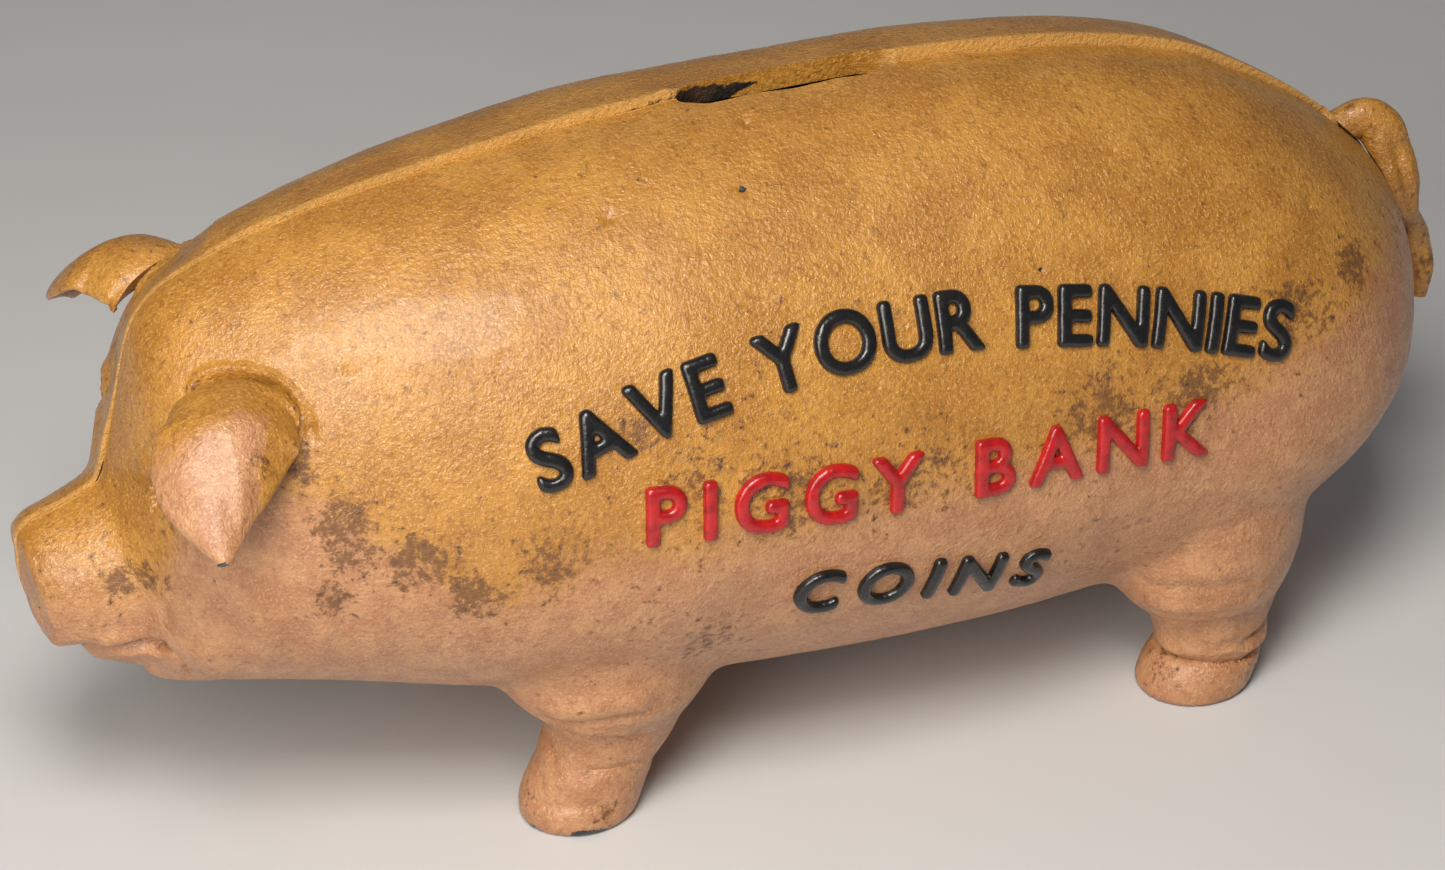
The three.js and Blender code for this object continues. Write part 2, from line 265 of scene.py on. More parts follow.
# %% Lay a sphere's rings on the lines
def ringed_sphere(around, rings):
    """A sphere, and for each of its points the ring's share of the way, its turn, and 0 at the poles."""
    deselect()
    bpy.ops.mesh.primitive_uv_sphere_add(segments=around, ring_count=rings, radius=1)
    obj = bpy.context.object
    unit = get_points(obj) * MM
    ring = np.rint(np.arccos(np.clip(unit[:, 2], -1, 1)) / math.pi * rings)
    share = np.clip((ring - 1) / (rings - 2), 0, 1)
    turn = np.arctan2(unit[:, 1], unit[:, 0])
    open_ring = ((ring > 0) & (ring < rings)).astype(float)
    return obj, share, turn, open_ring


def recalculate_outside(obj):
    select_only(obj)
    to_mode("EDIT")
    bpy.ops.mesh.select_all(action="SELECT")
    bpy.ops.mesh.normals_make_consistent(inside=False)
    to_mode("OBJECT")


def body_shape(name, grow, around, rings):
    obj, share, turn, open_ring = ringed_sphere(around, rings)
    obj.name = name
    n = share * LAST
    widest = line_widest(n)
    side = line_side(n) + grow
    rise = line_back(n) + grow - widest
    fall = widest - line_belly(n) + grow
    sine = np.sin(turn)
    up = sine * np.where(sine > 0, rise, fall) * open_ring
    middle = BODY_LENGTH / 2
    x = SNOUT_X + middle + (line_x(n) - middle) * (1 + grow / middle) + line_lean(n) * up
    set_points(obj, np.column_stack([x, np.cos(turn) * side * open_ring, widest + up]))
    recalculate_outside(obj)
    return obj


pig = body_shape("pig", 0, 128, 220)
print("body:", face_count(pig), "faces")

# %% [markdown]
# ## Legs
# Each leg grows from the flat of its hoof. A filled circle is extruded upwards ring by ring, and each
# ring is resized, so the hoof, the pinched ankle and the thick thigh come from one list of radii.

# %% Extrude the legs ring by ring
# height, how far the ring's centre lies behind the foot's, radius
FRONT_RINGS = [
    (0, 0, 11.3), (1.2, 0.3, 12.4), (5, 1.2, 13), (9, 3, 12.9), (12, 4.4, 12.5), (15, 6, 13.3),
    (20, 8.5, 14.2), (24, 9, 16), (28, 8.5, 20), (33, 8, 23), (46, 9, 23.5), (62, 11, 20),
]
REAR_RINGS = [
    (0, 0, 11.6), (1.2, 0.2, 12.8), (5, 1.6, 13), (8.5, 3.2, 12.3), (10, 3.8, 11.6), (12, 4, 12.6),
    (15, 3.8, 12.7), (19, 3, 13.6), (24, 1.5, 17.5), (30, 1, 20.5), (38, 1.5, 22), (48, 2, 21.5),
    (62, 2, 17),
]
LEG_NARROWNESS = 0.88
LEG_LEAN = 5
LEG_STEPS = 44


def make_leg(name, foot_x, foot_y, rings):
    heights, behind, radii = zip(*rings)
    lead, girth = smooth_line(heights, behind), smooth_line(heights, radii)
    top = heights[-1]
    deselect()
    bpy.ops.mesh.primitive_circle_add(
        vertices=48, radius=radii[0] * MM, fill_type="NGON", location=(foot_x * MM, foot_y * MM, 0)
    )
    obj = bake_place(bpy.context.object, name)
    to_mode("EDIT")
    bpy.ops.mesh.select_all(action="SELECT")
    bpy.ops.transform.resize(
        value=(1, LEG_NARROWNESS, 1), center_override=(foot_x * MM, foot_y * MM, 0)
    )
    lean = -math.copysign(LEG_LEAN, foot_y) / top
    height = 0
    for step in range(1, LEG_STEPS + 1):
        above = top * (step / LEG_STEPS) ** 1.4
        move = ((lead(above) - lead(height)) * MM, lean * (above - height) * MM, (above - height) * MM)
        bpy.ops.mesh.extrude_region_move(TRANSFORM_OT_translate={"value": move})
        centre = ((foot_x + lead(above)) * MM, (foot_y + lean * above) * MM, above * MM)
        swell = float(girth(above) / girth(height))
        bpy.ops.transform.resize(value=(swell, swell, 1), center_override=centre)
        height = above
    recalculate_outside(obj)
    return obj


FRONT_FOOT, REAR_FOOT = (-55, 33), (83, 41)
for side in (-1, 1):
    for (foot_x, foot_y), rings in ((FRONT_FOOT, FRONT_RINGS), (REAR_FOOT, REAR_RINGS)):
        add(pig, make_leg("leg", foot_x, side * foot_y, rings))
print("body with legs:", face_count(pig), "faces")

# %% [markdown]
# ## One even skin
# The union leaves a hard crease where a leg meets the belly, which a casting never has: the pattern maker
# fills such corners with wax. The voxel remesh gives the whole pig one even skin, and a smoothing pass
# that is strongest at the creases makes the fillets.

# %% Remesh, and fillet the legs
SKIN_VOXEL = 1.05


def weight_group(obj, name, weights):
    """A vertex group from an array of weights."""
    group = obj.vertex_groups.new(name=name)
    levels = np.rint(np.clip(weights, 0, 1) * 20).astype(int)
    for level in range(1, 21):
        index = np.flatnonzero(levels == level)
        if len(index):
            group.add(index.tolist(), level / 20, "REPLACE")
    return group.name


def smooth_where(obj, weights, rounds, factor=0.5):
    name = weight_group(obj, "smooth", weights)
    apply_modifier(obj, "SMOOTH", factor=factor, iterations=rounds, vertex_group=name)
    obj.vertex_groups.clear()


def fade(distance, radius):
    """1 at no distance, falling softly to 0 at the radius."""
    t = np.clip(1 - distance / radius, 0, 1)
    return t * t * (3 - 2 * t)


apply_modifier(pig, "REMESH", mode="VOXEL", voxel_size=SKIN_VOXEL * MM, adaptivity=0)
p = get_points(pig)
fillet = np.zeros(len(p))
for (foot_x, foot_y), lead, reach in ((FRONT_FOOT, 8, 34), (REAR_FOOT, 1, 30)):
    across = np.hypot(p[:, 0] - foot_x - lead, np.abs(p[:, 1]) - foot_y)
    band = fade(np.abs(p[:, 2] - 38), 20)
    fillet = np.maximum(fillet, np.clip(2 * fade(across, reach), 0, 1) * np.clip(2 * band, 0, 1))
smooth_where(pig, fillet, 60)
smooth_where(pig, np.ones(len(p)) * (p[:, 0] > -138) * (p[:, 2] > 3), 6)
print("skin:", face_count(pig), "faces")

# %% [markdown]
# ## Finer skin where the detail is
# One millimetre between points is enough for the flanks, but not for an eyelid or a mouth. Only the faces
# of the head, the ear roots and the hooves are subdivided, which costs far less than a finer skin
# everywhere.

# %% Subdivide the head and the hooves
def select_faces(obj, chosen):
    """Leaves only the chosen faces selected, in edit mode."""
    select_only(obj)
    to_mode("EDIT")
    bpy.ops.mesh.select_mode(type="FACE")
    bpy.ops.mesh.select_all(action="DESELECT")
    to_mode("OBJECT")
    obj.data.polygons.foreach_set("select", np.asarray(chosen, bool))
    to_mode("EDIT")


def face_centres(obj):
    centres = np.empty(face_count(obj) * 3)
    obj.data.polygons.foreach_get("center", centres)
    return centres.reshape(-1, 3) / MM


c = face_centres(pig)
detailed = (c[:, 0] < -120) | ((c[:, 0] < -102) & (c[:, 2] > 100)) | (c[:, 2] < 12)
select_faces(pig, detailed)
bpy.ops.mesh.subdivide(number_cuts=1, smoothness=0)
to_mode("OBJECT")
smooth_where(pig, np.ones(len(pig.data.vertices)) * (get_points(pig)[:, 2] > 0.5), 2)
print("skin with a finer head:", face_count(pig), "faces")

# %% [markdown]
# ## Sculpting tools
# The details are pressed or drawn into the skin as with a wax tool. A stroke follows a path over the
# surface, has a width, and moves the points along their normals: outwards for a fold, inwards for a
# crease. Each stroke is made on both sides of the pig.

# %% A stroke over the skin
def tree_of(points):
    """A lookup of the nearest point."""
    tree = KDTree(len(points))
    for i, point in enumerate(points):
        tree.insert(point, i)
    tree.balance()
    return tree


def path_through(points, spacing=0.7):
    """Evenly spaced samples on a smooth curve through the points."""
    points = np.array(points, float)
    if len(points) == 1:
        return points
    along = np.concatenate([[0], np.cumsum(np.linalg.norm(np.diff(points, axis=0), axis=1))])
    samples = np.linspace(0, along[-1], max(2, round(along[-1] / spacing) + 1))
    return np.column_stack([smooth_line(along, column)(samples) for column in points.T])


def nearest_on(path, points):
    """The distance from each point to the path, and the share of the path where it is nearest."""
    gap = np.linalg.norm(points[:, None] - path[None], axis=2)
    nearest = gap.argmin(1)
    return gap[np.arange(len(points)), nearest], nearest / max(1, len(path) - 1)


class Sculpture:
    """The skin while it is sculpted: where its points are and how far each has been moved outwards."""

    def __init__(self, obj):
        self.obj, self.points, self.normals = obj, get_points(obj), get_normals(obj)
        self.relief = np.zeros(len(self.points))
        self.tree = tree_of(self.points)

    def on_skin(self, path):
        """The path moved onto the skin, with the small jumps from point to point evened out."""
        line = np.array([self.tree.find(p)[0] for p in path])
        for _ in range(6 if len(line) > 4 else 0):
            line[1:-1] = 0.25 * line[:-2] + 0.5 * line[1:-1] + 0.25 * line[2:]
        return line

    def stroke(self, path, radius, height, taper=0.25, crease=False, sides=(-1, 1)):
        for side in sides:
            mirrored = np.array(path, float) * (1, -side, 1)
            line = self.on_skin(path_through(mirrored))
            low, high = line.min(0) - radius, line.max(0) + radius
            near = np.flatnonzero(((self.points > low) & (self.points < high)).all(1))
            gap, share = nearest_on(line, self.points[near])
            strength = np.clip(1 - gap / radius, 0, 1) ** 1.7 if crease else fade(gap, radius)
            if taper and len(line) > 1:
                strength = strength * np.clip(np.minimum(share, 1 - share) / taper, 0, 1) ** 0.7
            self.relief[near] += height * strength

    def finish(self):
        set_points(self.obj, self.points + self.normals * self.relief[:, None])


# %% [markdown]
# ## The face
# The character of the pig is in its face: a mouth under the overhanging snout, a set-in lower jaw that
# catches the light, a fat cheek behind it, and a small eye in a hollow at the front of the ear.

# %% Sculpt the face
wax = Sculpture(pig)
MOUTH = [(-149.6, -6, 50), (-148.6, -11.2, 51), (-145.2, -15, 51.8), (-140.4, -17.4, 52.2),
         (-137, -20, 52.8), (-135.3, -23.8, 54.5)]
wax.stroke(MOUTH, 2.4, -2.6, taper=0.1, crease=True)
wax.stroke([(-147, -13.5, 54), (-142, -17, 54.8), (-138, -19.6, 55.6)], 3.5, 1)
wax.stroke([(-146, -11, 46.8), (-140, -14, 45.2), (-133, -17, 43.5)], 6, -1, taper=0.35)
wax.stroke([(-146.6, -12.6, 48.8), (-141, -16, 49.2), (-137, -20, 50)], 2.4, 1.2)
JAW_BACK = [(-135.4, -23.6, 54.4), (-134.4, -24.2, 52.4), (-133.2, -24.3, 50.4), (-132, -23, 47),
            (-130.5, -19, 43.5)]
wax.stroke(JAW_BACK, 2, -1.1, taper=0.15, crease=True)
wax.stroke([(-130, -28, 60), (-128, -29, 54), (-126, -27, 48)], 8, 1.3)
wax.stroke([(-135.5, -24.3, 60), (-135.9, -24, 63), (-136, -23.7, 66.5)], 2.6, -0.6)
BROW_VALLEY = [(-138.6, -4, 83.5), (-138, -9, 85), (-137.1, -14.2, 86.8), (-135.4, -19.3, 88.2),
               (-133.9, -23.3, 88.8)]
wax.stroke(BROW_VALLEY, 4, -0.9, taper=0.15)
wax.stroke([(-135.4, -14, 92), (-133.6, -19.5, 93), (-132, -24, 93)], 4, 0.8)
wax.stroke([(-112, -15, 128), (-124, -14, 116), (-132, -14, 102), (-137, -13, 88)], 18, -2.8, sides=(1,))
EYE = (-136.3, -20.4, 87.8)
wax.stroke([(-136.6, -19.2, 87.4), EYE, (-132.6, -26, 87.8)], 4.4, -2, taper=0.1)
wax.stroke([EYE], 1.7, 1.5)
wax.stroke([(-135.6, -21.2, 83.4), (-133.3, -26.1, 82.6), (-130.6, -29.4, 82.4)], 4.5, -0.7)
wax.stroke([(-135.3, -21.4, 90.2), (-134, -24, 90.9), (-132, -26.8, 90.4)], 1.3, 0.7)
wax.stroke([(-135.6, -21.6, 86.2), (-134.6, -24, 85.4), (-132.6, -27, 85.8)], 1.3, 0.5)
print("face sculpted")

# %% [markdown]
# ## Snout disc and nostrils
# The disc bulges a little in the middle and has a soft rim. Each nostril is an upright slot in it.

# %% Sculpt the disc
rim_turn = np.linspace(0, 2 * math.pi, 49)
disc_middle_z = 60
RIM_WIDTH, RIM_HEIGHT = 11, 11.5
rim = [
    (SNOUT_X - 1 - 1.2 * math.sin(t), RIM_WIDTH * math.cos(t), disc_middle_z + RIM_HEIGHT * math.sin(t))
    for t in rim_turn
]
wax.stroke(rim, 3.4, 0.4, taper=0, sides=(1,))
wax.stroke([(SNOUT_X, 0, disc_middle_z - 4), (SNOUT_X, 0, disc_middle_z + 2)], 13, 2, taper=0, sides=(1,))
wax.stroke([(-151, 2, 46.5), (-150.5, -7, 47.6), (-147.5, -12, 49.6)], 6.5, -2.6, taper=0)
NOSTRIL = [(-154, -6.2, 56.5), (-154.6, -6.6, 60)]
wax.stroke(NOSTRIL, 2.3, -2.6, taper=0, crease=True)
wax.stroke([(-153.6, -8.4, 56), (-154.2, -9, 59.5), (-155, -7.6, 62.6)], 1.8, 0.4)

# %% [markdown]
# ## Folds, joints and hollows
# Soft rolls of fat run down the neck. The thighs swell out of the flanks, with a hollow in front of the
# ham, and the skin of each leg is folded above the hoof. The rear hooves have one deep crack all round.

# %% Sculpt the neck, flanks and legs
# a place on each furrow, and its depth
NECK_FURROWS = (
    (-124, -33, 61, 0.9), (-113.5, -38.5, 63, 0.9), (-104.5, -42.5, 64, 0.7), (-95, -45, 56, 0.6),
)
for x, y, z, deep in NECK_FURROWS:
    wax.stroke([(x - 2, y + 4, z + 17), (x, y, z), (x + 1, y + 5, z - 17)], 5, -deep, taper=0.5)
    wax.stroke([(x + 3, y + 2, z + 17), (x + 5, y - 2, z), (x + 6, y + 3, z - 17)], 5, 0.6 * deep, taper=0.5)
wax.stroke([(-30, -54, 56), (-27, -50, 38)], 19, -1.3, taper=0)
wax.stroke([(-60, -50, 58), (-56, -51, 48)], 20, 0.8, taper=0)
wax.stroke([(54, -56, 52), (56, -50, 36)], 17, -1.5, taper=0)
wax.stroke([(84, -56, 60), (86, -56, 46)], 18, 0.9, taper=0)
FRONT_FOLDS = (
    ([(-65, -38, 29.6), (-64.2, -40.8, 30.1), (-60.3, -44.6, 30.4), (-55.6, -48.2, 31.4),
      (-51, -50, 32.6), (-45, -50, 31.6)], 2.6, -1.3),
    ([(-64, -41, 33.5), (-59, -46.5, 34.4), (-52, -50.5, 36.4), (-44, -52, 35.5)], 4.5, 0.8),
    ([(-62, -38, 25.6), (-58.6, -41, 24.3), (-54, -43.8, 23.6), (-48.9, -44.3, 22.6), (-43, -43.6, 21.8)],
     2.4, -1.1),
    ([(-61, -40.5, 28), (-55, -45, 27.6), (-47, -46.6, 27)], 2.8, 0.7),
    ([(-58, -41, 15.6), (-52.9, -42.8, 15.6), (-48.2, -43.5, 15.6), (-42.6, -41.7, 14.6)], 2, -0.8),
    ([(-62.5, -30, 19.6), (-61.3, -33, 17.6), (-60, -37, 15.8)], 2.2, -1.2),
    ([(-66.4, -33, 6.4), (-64.2, -38.2, 6.8), (-60.8, -41.2, 7.2), (-56.5, -43.2, 7.2),
      (-50, -43.7, 6.6)], 2.6, -0.7),
    ([(-65, -36, 12), (-60, -40.5, 12), (-53, -43.5, 11.6)], 3.4, 0.6),
    ([(-53.5, -43.7, 4.7), (-50.4, -43.4, 4.8)], 2.6, -0.9),
)
REAR_FOLDS = (
    ([(72.6, -35, 10.2), (75, -42, 9.9), (76.8, -46, 9.9), (80.9, -49.5, 9.8), (86.2, -51, 9.4),
      (91.1, -50.3, 8.8), (97, -45, 8.8)], 1.5, -1.5),
    ([(73, -38, 12.4), (77, -47.5, 12.6), (84, -51.5, 12.8), (93, -49.5, 12.2), (98, -44, 11.6)], 2.2, 0.8),
    ([(68.9, -43, 22.9), (72.4, -46.3, 21), (76.7, -50.6, 21.6), (83.4, -53.1, 22.2), (91, -52.4, 22.6),
      (99, -47, 23)], 3.2, -1),
    ([(66.8, -46.5, 27.4), (70.6, -51, 28), (74.8, -53.6, 28.4), (81.4, -55.6, 28.8), (91, -54, 28)], 3,
     0.7),
    ([(65, -46, 32.5), (69, -51, 33.4), (74.4, -54.9, 34), (81.2, -56.8, 34.4), (91, -55, 33.4)], 3.2, -0.8),
    ([(99, -44, 19.4), (96, -47.6, 15.6), (92.6, -49.5, 14), (88, -50.6, 13.4)], 2.2, -1.1),
    ([(101, -43, 23.5), (98.4, -47, 19.8), (93.6, -50.3, 17.4), (86, -52, 16.8), (78, -49, 16.6)], 3, 0.8),
)
for path, radius, height in FRONT_FOLDS + REAR_FOLDS:
    wax.stroke(path, radius, height, taper=0.15, crease=height < 0)
print("folds sculpted")

# %% [markdown]
# ## Ear roots and casting marks
# Each ear sits against a rough raised lip on the head, left where the small casting was set into the
# pattern. A cast surface is never perfectly even: wide soft noise gives it a slight lumpiness, and a few
# gas pits and dimples are pressed into it.

# %% Ear lips, pits and lumps
EAR_LIP = [
    (-126.4, -20.4, 109), (-125.1, -20.7, 111.2), (-122.6, -20.6, 112.9), (-117.3, -22.8, 114),
    (-113.4, -25.3, 113.6), (-110.5, -27.6, 112.4), (-108.6, -30, 110.8), (-107.6, -32, 108),
    (-107.4, -34.4, 104.6),
]
wax.stroke(EAR_LIP, 1.9, 1.3, taper=0.1, crease=True)
groove = [(x + 0.6, y - 1.9, z - 2.4) for x, y, z in EAR_LIP]
wax.stroke(groove, 2.2, -1.2, taper=0.1)
# x, y, z, radius
PITS = (
    (-16, -27, 133, 1.1), (-43, -26, 132, 1.6), (-9, -12, 139, 1.8), (-71, -40, 115, 1),
    (39, -46, 113, 0.9), (-97, -30, 112, 1), (-126, -17, 96, 0.9), (62, -30, 126, 1),
    (101, -33, 104, 1.2), (-30, -52, 88, 1), (-142, -12, 74, 0.6), (-139, -15.5, 74, 0.6),
    (20, 40, 122, 1.4), (-60, 44, 108, 1), (90, 48, 92, 1.2), (-20, 58, 84, 0.9), (-100, 40, 84, 1.1),
    (40, 60, 66, 1),
)
for x, y, z, radius in PITS:
    wax.stroke([(x, y, z)], 1.6 * radius, -0.7 * radius, crease=True, sides=(-1,))
lumps = np.array([
    noise.fractal(Vector(p) / 16, 1, 2, 3) + 0.55 * noise.noise(Vector(p) / 3.2) for p in wax.points
])
near_lip, _ = nearest_on(wax.on_skin(path_through(np.array(EAR_LIP))), wax.points)
roughness = 1 + 3.5 * fade(near_lip, 4)
standing = np.clip((wax.points[:, 2] - 0.3) / 2, 0, 1)
wax.relief = (wax.relief + 0.13 * lumps * roughness) * standing
wax.finish()
print("lumps from", round(float(lumps.min()), 2), "to", round(float(lumps.max()), 2))

# %% [markdown]
# ## What the paint will follow
# Gold varnish covers the back down to a ragged line, and the legs, belly and jaw are flesh pink. Grime
# has settled along that line, and the creases are painted darker as shade. These are painted onto the
# skin as soft values, one number per point, and the finish later breaks their edges up with noise. The
# depth below the skin tells bare iron from paint once the body is cut open.

# %% Paint soft values onto the skin
GOLD_EDGE = smooth_line(
    (-160, -147, -136, -129, -118, -111, -94, -77, -58, -18, 26, 70, 95, 126, 150),
    (66, 66, 69, 92, 97, 92, 79, 68, 75, 76, 77, 80, 87, 93, 96),
)
# x, y, z, radius, strength
GRIME_SPOTS = (
    (-107, -42, 71, 5, 1), (-103, -43, 80, 6, 0.9), (-91, -48, 79, 6, 1), (-82, -51, 70, 5, 0.9),
    (-104, -42, 88, 6, 0.9), (-142, -16, 67, 3, 0.8), (-137, -20, 69, 3, 0.7),
    (-134.5, -26, 71, 2.5, 0.6), (-18, -51, 108, 9, 0.6), (94, -51, 97, 8, 0.8), (111, -44, 98, 5, 0.9),
    (-48, -53, 101, 5, 1), (-37, -56, 93, 9, 0.8), (48, -57, 88, 9, 0.8), (-20, -58, 88, 12, 0.6),
    (8, -58, 86, 12, 0.5), (-110, -40, 100, 5, 0.9), (-52, -44, 5, 3.5, 0.8), (-66, -33, 6, 3, 0.6),
    (76, -44, 4, 5, 0.9), (92, -46, 5, 5, 0.9), (-38, -52, 50, 9, 0.5), (-48, -53, 62, 8, 0.5),
    (70, -57, 84, 8, 0.7), (-68, -55, 80, 8, 0.6), (-108.5, -36, 88, 4, 0.9),
    (-124.5, -21, 110.4, 2, 0.9),
)
# x, y, z, radius
CHIP_SPOTS = (
    (-136.3, -20.4, 87.8, 1.7), (-154.6, -6.4, 58.4, 1.5), (-58, -42.4, 0.4, 2.1), (-55.6, -43, 0.3, 2),
    (-53.6, -43, 0.4, 1.3), (94.5, -45.5, 1.2, 3), (91, -48, 0.4, 1.8), (-154.6, 4, 66, 0.8),
    (-16, -27, 133, 0.9), (39, -46, 113, 0.6), (101, 40, 0.6, 3), (-64, 36, 0.5, 2.5),
)


def store(obj, name, values):
    """Keeps one number per point of the mesh, for the finish to read."""
    attribute = obj.data.attributes.get(name) or obj.data.attributes.new(name, "FLOAT", "POINT")
    attribute.data.foreach_set("value", np.asarray(values, np.float32))


def spots_on(points, spots):
    """How strongly each point lies in one of the spots, on either flank."""
    mirrored = points + np.where(points[:, 1:2] > 0, (6, 0, 3), (0, 0, 0))
    mirrored[:, 1] = -np.abs(points[:, 1])
    total = np.zeros(len(points))
    for x, y, z, radius, strength in spots:
        distance = np.linalg.norm(mirrored - (x, y, z), axis=1)
        total = np.maximum(total, strength * fade(distance, 1.8 * radius))
    return total


skin_points, skin_relief = get_points(pig), wax.relief.copy()
skin_tree = tree_of(skin_points)
PAINT_DEPTH = 3.6
GOLD_SOFTNESS, GRIME_BAND, BARE_SOFTNESS = 40, 16, 4
SLOT_MIDDLE_X, SLOT_REACH, SLOT_LOWEST = 5, 25, 120
SLOT_PAINT = smooth_line((-30, -9, -4, 30), (1.3, 1.3, 7.5, 7.5))
JOINT_LOWEST = 62


def paint_values(obj):
    """Stores how golden and chipped the paint is, how much grime and painted shade darken it, and where the
    iron is bare.
    """
    points = get_points(obj)
    found = [skin_tree.find(p) for p in points]
    crease = -skin_relief[[f[1] for f in found]]
    depth = np.array([f[2] for f in found])
    edge = GOLD_EDGE(points[:, 0])
    store(obj, "gold", np.clip(0.5 + (points[:, 2] - edge) / GOLD_SOFTNESS, 0, 1))
    along_edge = 0.35 * fade(np.abs(points[:, 2] - edge - 2), GRIME_BAND)
    # Painted shade: the deeper a crease, the darker it is painted.
    crease_shade = 0.45 * np.clip(crease - 0.35, 0, 1)
    store(obj, "grime_and_shade", np.clip(spots_on(points, GRIME_SPOTS) + along_edge + crease_shade, 0, 1))
    store(obj, "chip", spots_on(points, [(x, -abs(y), z, r, 1) for x, y, z, r in CHIP_SPOTS]))
    x, y, z = points.T
    in_slot = (np.abs(x - SLOT_MIDDLE_X) < SLOT_REACH) * (np.abs(y) < 5) * (z > SLOT_LOWEST)
    limit = np.where(in_slot, SLOT_PAINT(x), PAINT_DEPTH)
    store(obj, "bare", np.clip(0.5 + (depth - limit) / BARE_SOFTNESS, 0, 1))
    # The band along the joint is painted lighter later: rubbed paint, and a painted highlight on the step.
    store(obj, "edge", fade(np.abs(y), np.where(y > 0, 2.2, 1)) * (z > JOINT_LOWEST))


# %% [markdown]
# ## Cutting tools
# Holes, posts and the parting cut are made with booleans, as a pattern maker would use cores. Each tool
# is a closed solid that is used up by its cut. A tool has rounded or bevelled edges, since castings have
# no sharp ones. The slot's outline narrows at both ends.

# %% Tools for cutting and building up
def round_bar(radius, start, end, sides=40):
    """A round bar between two points, with a small bevel round both ends."""
    start, end = Vector(start) * MM, Vector(end) * MM
    along = end - start
    deselect()
    bpy.ops.mesh.primitive_cylinder_add(
        vertices=sides, radius=radius * MM, depth=along.length,
        location=(start + end) / 2, rotation=along.to_track_quat("Z", "Y").to_euler(),
    )
    obj = bake_place(bpy.context.object, "bar")
    apply_modifier(obj, "BEVEL", width=0.3 * MM, segments=2, limit_method="ANGLE")
    return obj


def block(low, high):
    """A box between two corners, for cutting whole sides away."""
    low, high = np.array(low, float), np.array(high, float)
    deselect()
    bpy.ops.mesh.primitive_cube_add(size=1, location=(low + high) / 2 * MM)
    obj = bpy.context.object
    obj.scale = (high - low) * MM
    return bake_place(obj, "block")


SLOT_LENGTH, SLOT_WIDTH, SLOT_X, SLOT_Y = 48, 7.2, 5, -0.8
SLOT_TAPERS = (5, 9)
SLOT_TOOL_HEIGHT = 40


def slot_tool():
    """The coin slot: eight points on its outline, extruded down through the back, with rounded corners."""
    end, full, narrow = SLOT_LENGTH / 2, SLOT_WIDTH / 2, SLOT_WIDTH / 6
    front, rear = SLOT_TAPERS[0] - end, end - SLOT_TAPERS[1]
    outline = [
        (-end, -narrow), (front, -full), (rear, -full), (end, -narrow),
        (end, narrow), (rear, full), (front, full), (-end, narrow),
    ]
    bottom = back_at(SLOT_X) + 10 - SLOT_TOOL_HEIGHT
    deselect()
    bpy.ops.mesh.primitive_circle_add(vertices=len(outline), radius=10 * MM, fill_type="NGON")
    obj = bpy.context.object
    set_points(obj, np.array([(SLOT_X + x, SLOT_Y + y, bottom) for x, y in outline]))
    select_only(obj)
    to_mode("EDIT")
    bpy.ops.mesh.select_all(action="SELECT")
    bpy.ops.mesh.extrude_region_move(TRANSFORM_OT_translate={"value": (0, 0, SLOT_TOOL_HEIGHT * MM)})
    recalculate_outside(obj)
    corners = {"limit_method": "ANGLE", "angle_limit": math.radians(15)}
    apply_modifier(obj, "BEVEL", width=2 * MM, segments=5, **corners)
    return obj


# %% [markdown]
# ## The proud edge of the right half
# The two castings never matched exactly. Along the back and the snout the right half stands proud of the
# left one, so its edge shows as a narrow lit step beside a dark joint. The step is highest behind the
# slot, and there is a small boss of iron at the slot's front end.

# %% Raise and lower the skin along the joint
STEP = smooth_line(
    (-157, -150, -140, -133, -120, -100, -70, -40, -25, -18, 20, 34, 45, 75, 105, 125, 150),
    (0.4, 0.8, 0.8, 0.2, 0.3, 0.9, 1.5, 1.7, 2, 1.3, 1.5, 2.3, 2.6, 2.4, 1.8, 1.1, 0.5),
)
STEP_REACH = 9
TOP_ROOM = 0.8
BOSS = (-21, 1.2, 2.6)


def edge_relief(points, side):
    """How far the skin moves along its normals beside the joint: up on the right half, down on the left."""
    step = STEP(points[:, 0]) * np.clip((points[:, 2] - 58) / 8, 0, 1)
    uneven = np.array([noise.noise(Vector((x / 9, 0, 0))) for x in points[:, 0]])
    step = step * (1 + 0.35 * uneven)
    if side < 0:
        return -np.clip(step - TOP_ROOM, 0, None) * fade(np.abs(points[:, 1]), 1.6 * STEP_REACH)
    from_boss = np.hypot(points[:, 0] - BOSS[0], points[:, 1] - BOSS[1])
    boss = 0.8 * fade(from_boss, BOSS[2]) * (points[:, 2] > 100)
    return np.clip(step, 0, TOP_ROOM) * fade(np.abs(points[:, 1]), STEP_REACH) + boss


# %% [markdown]
# ## The two castings
# Each half starts as a copy of the whole skin. The chamber is taken out, screw posts and peg lugs are
# added inside, and the parting cut, slot, sockets and bores follow. Doing the parting cut after the
# chamber leaves the flat joint face all round, as on the casting.

# %% Hollow and cut the halves
WALL = 4.2
HALF_GAP, FIT_GAP = 0.15, 0.3
POST_RADIUS = 7.5
SCREW_RADIUS, SCREW_CLEARANCE, THREAD_GAP, THREAD_DEPTH = 3, 0.35, 0.45, 24
HEAD_RADIUS, HEAD_HEIGHT, HEAD_SUNK = 6, 3.4, 1.2
POSTS = {"front_screw": (-72, 76), "rear_screw": (76, 78)}
LUG_RADIUS, PEG_RADIUS, PEG_LENGTH, PEG_CLEARANCE = 6, 2.2, 4, 0.4
LUGS = ((-116, 46), (118, 97))
EAR_ROOT = (-119, 26, 108)
TANG_RADIUS = 4
TAIL_ROOT = (131, 0, 106.5)
TAIL_PEG_RADIUS = 3
FAR = 400


def head_seat(x, z):
    """Where the underside of a screw's head rests."""
    return float(flank_at(x, z)) - HEAD_SUNK - HEAD_HEIGHT


def tang_ends(side):
    x, y, z = EAR_ROOT
    return (x + 3, side * (y - 8), z - 9), (x - 1, side * (y + 3), z + 1.5)


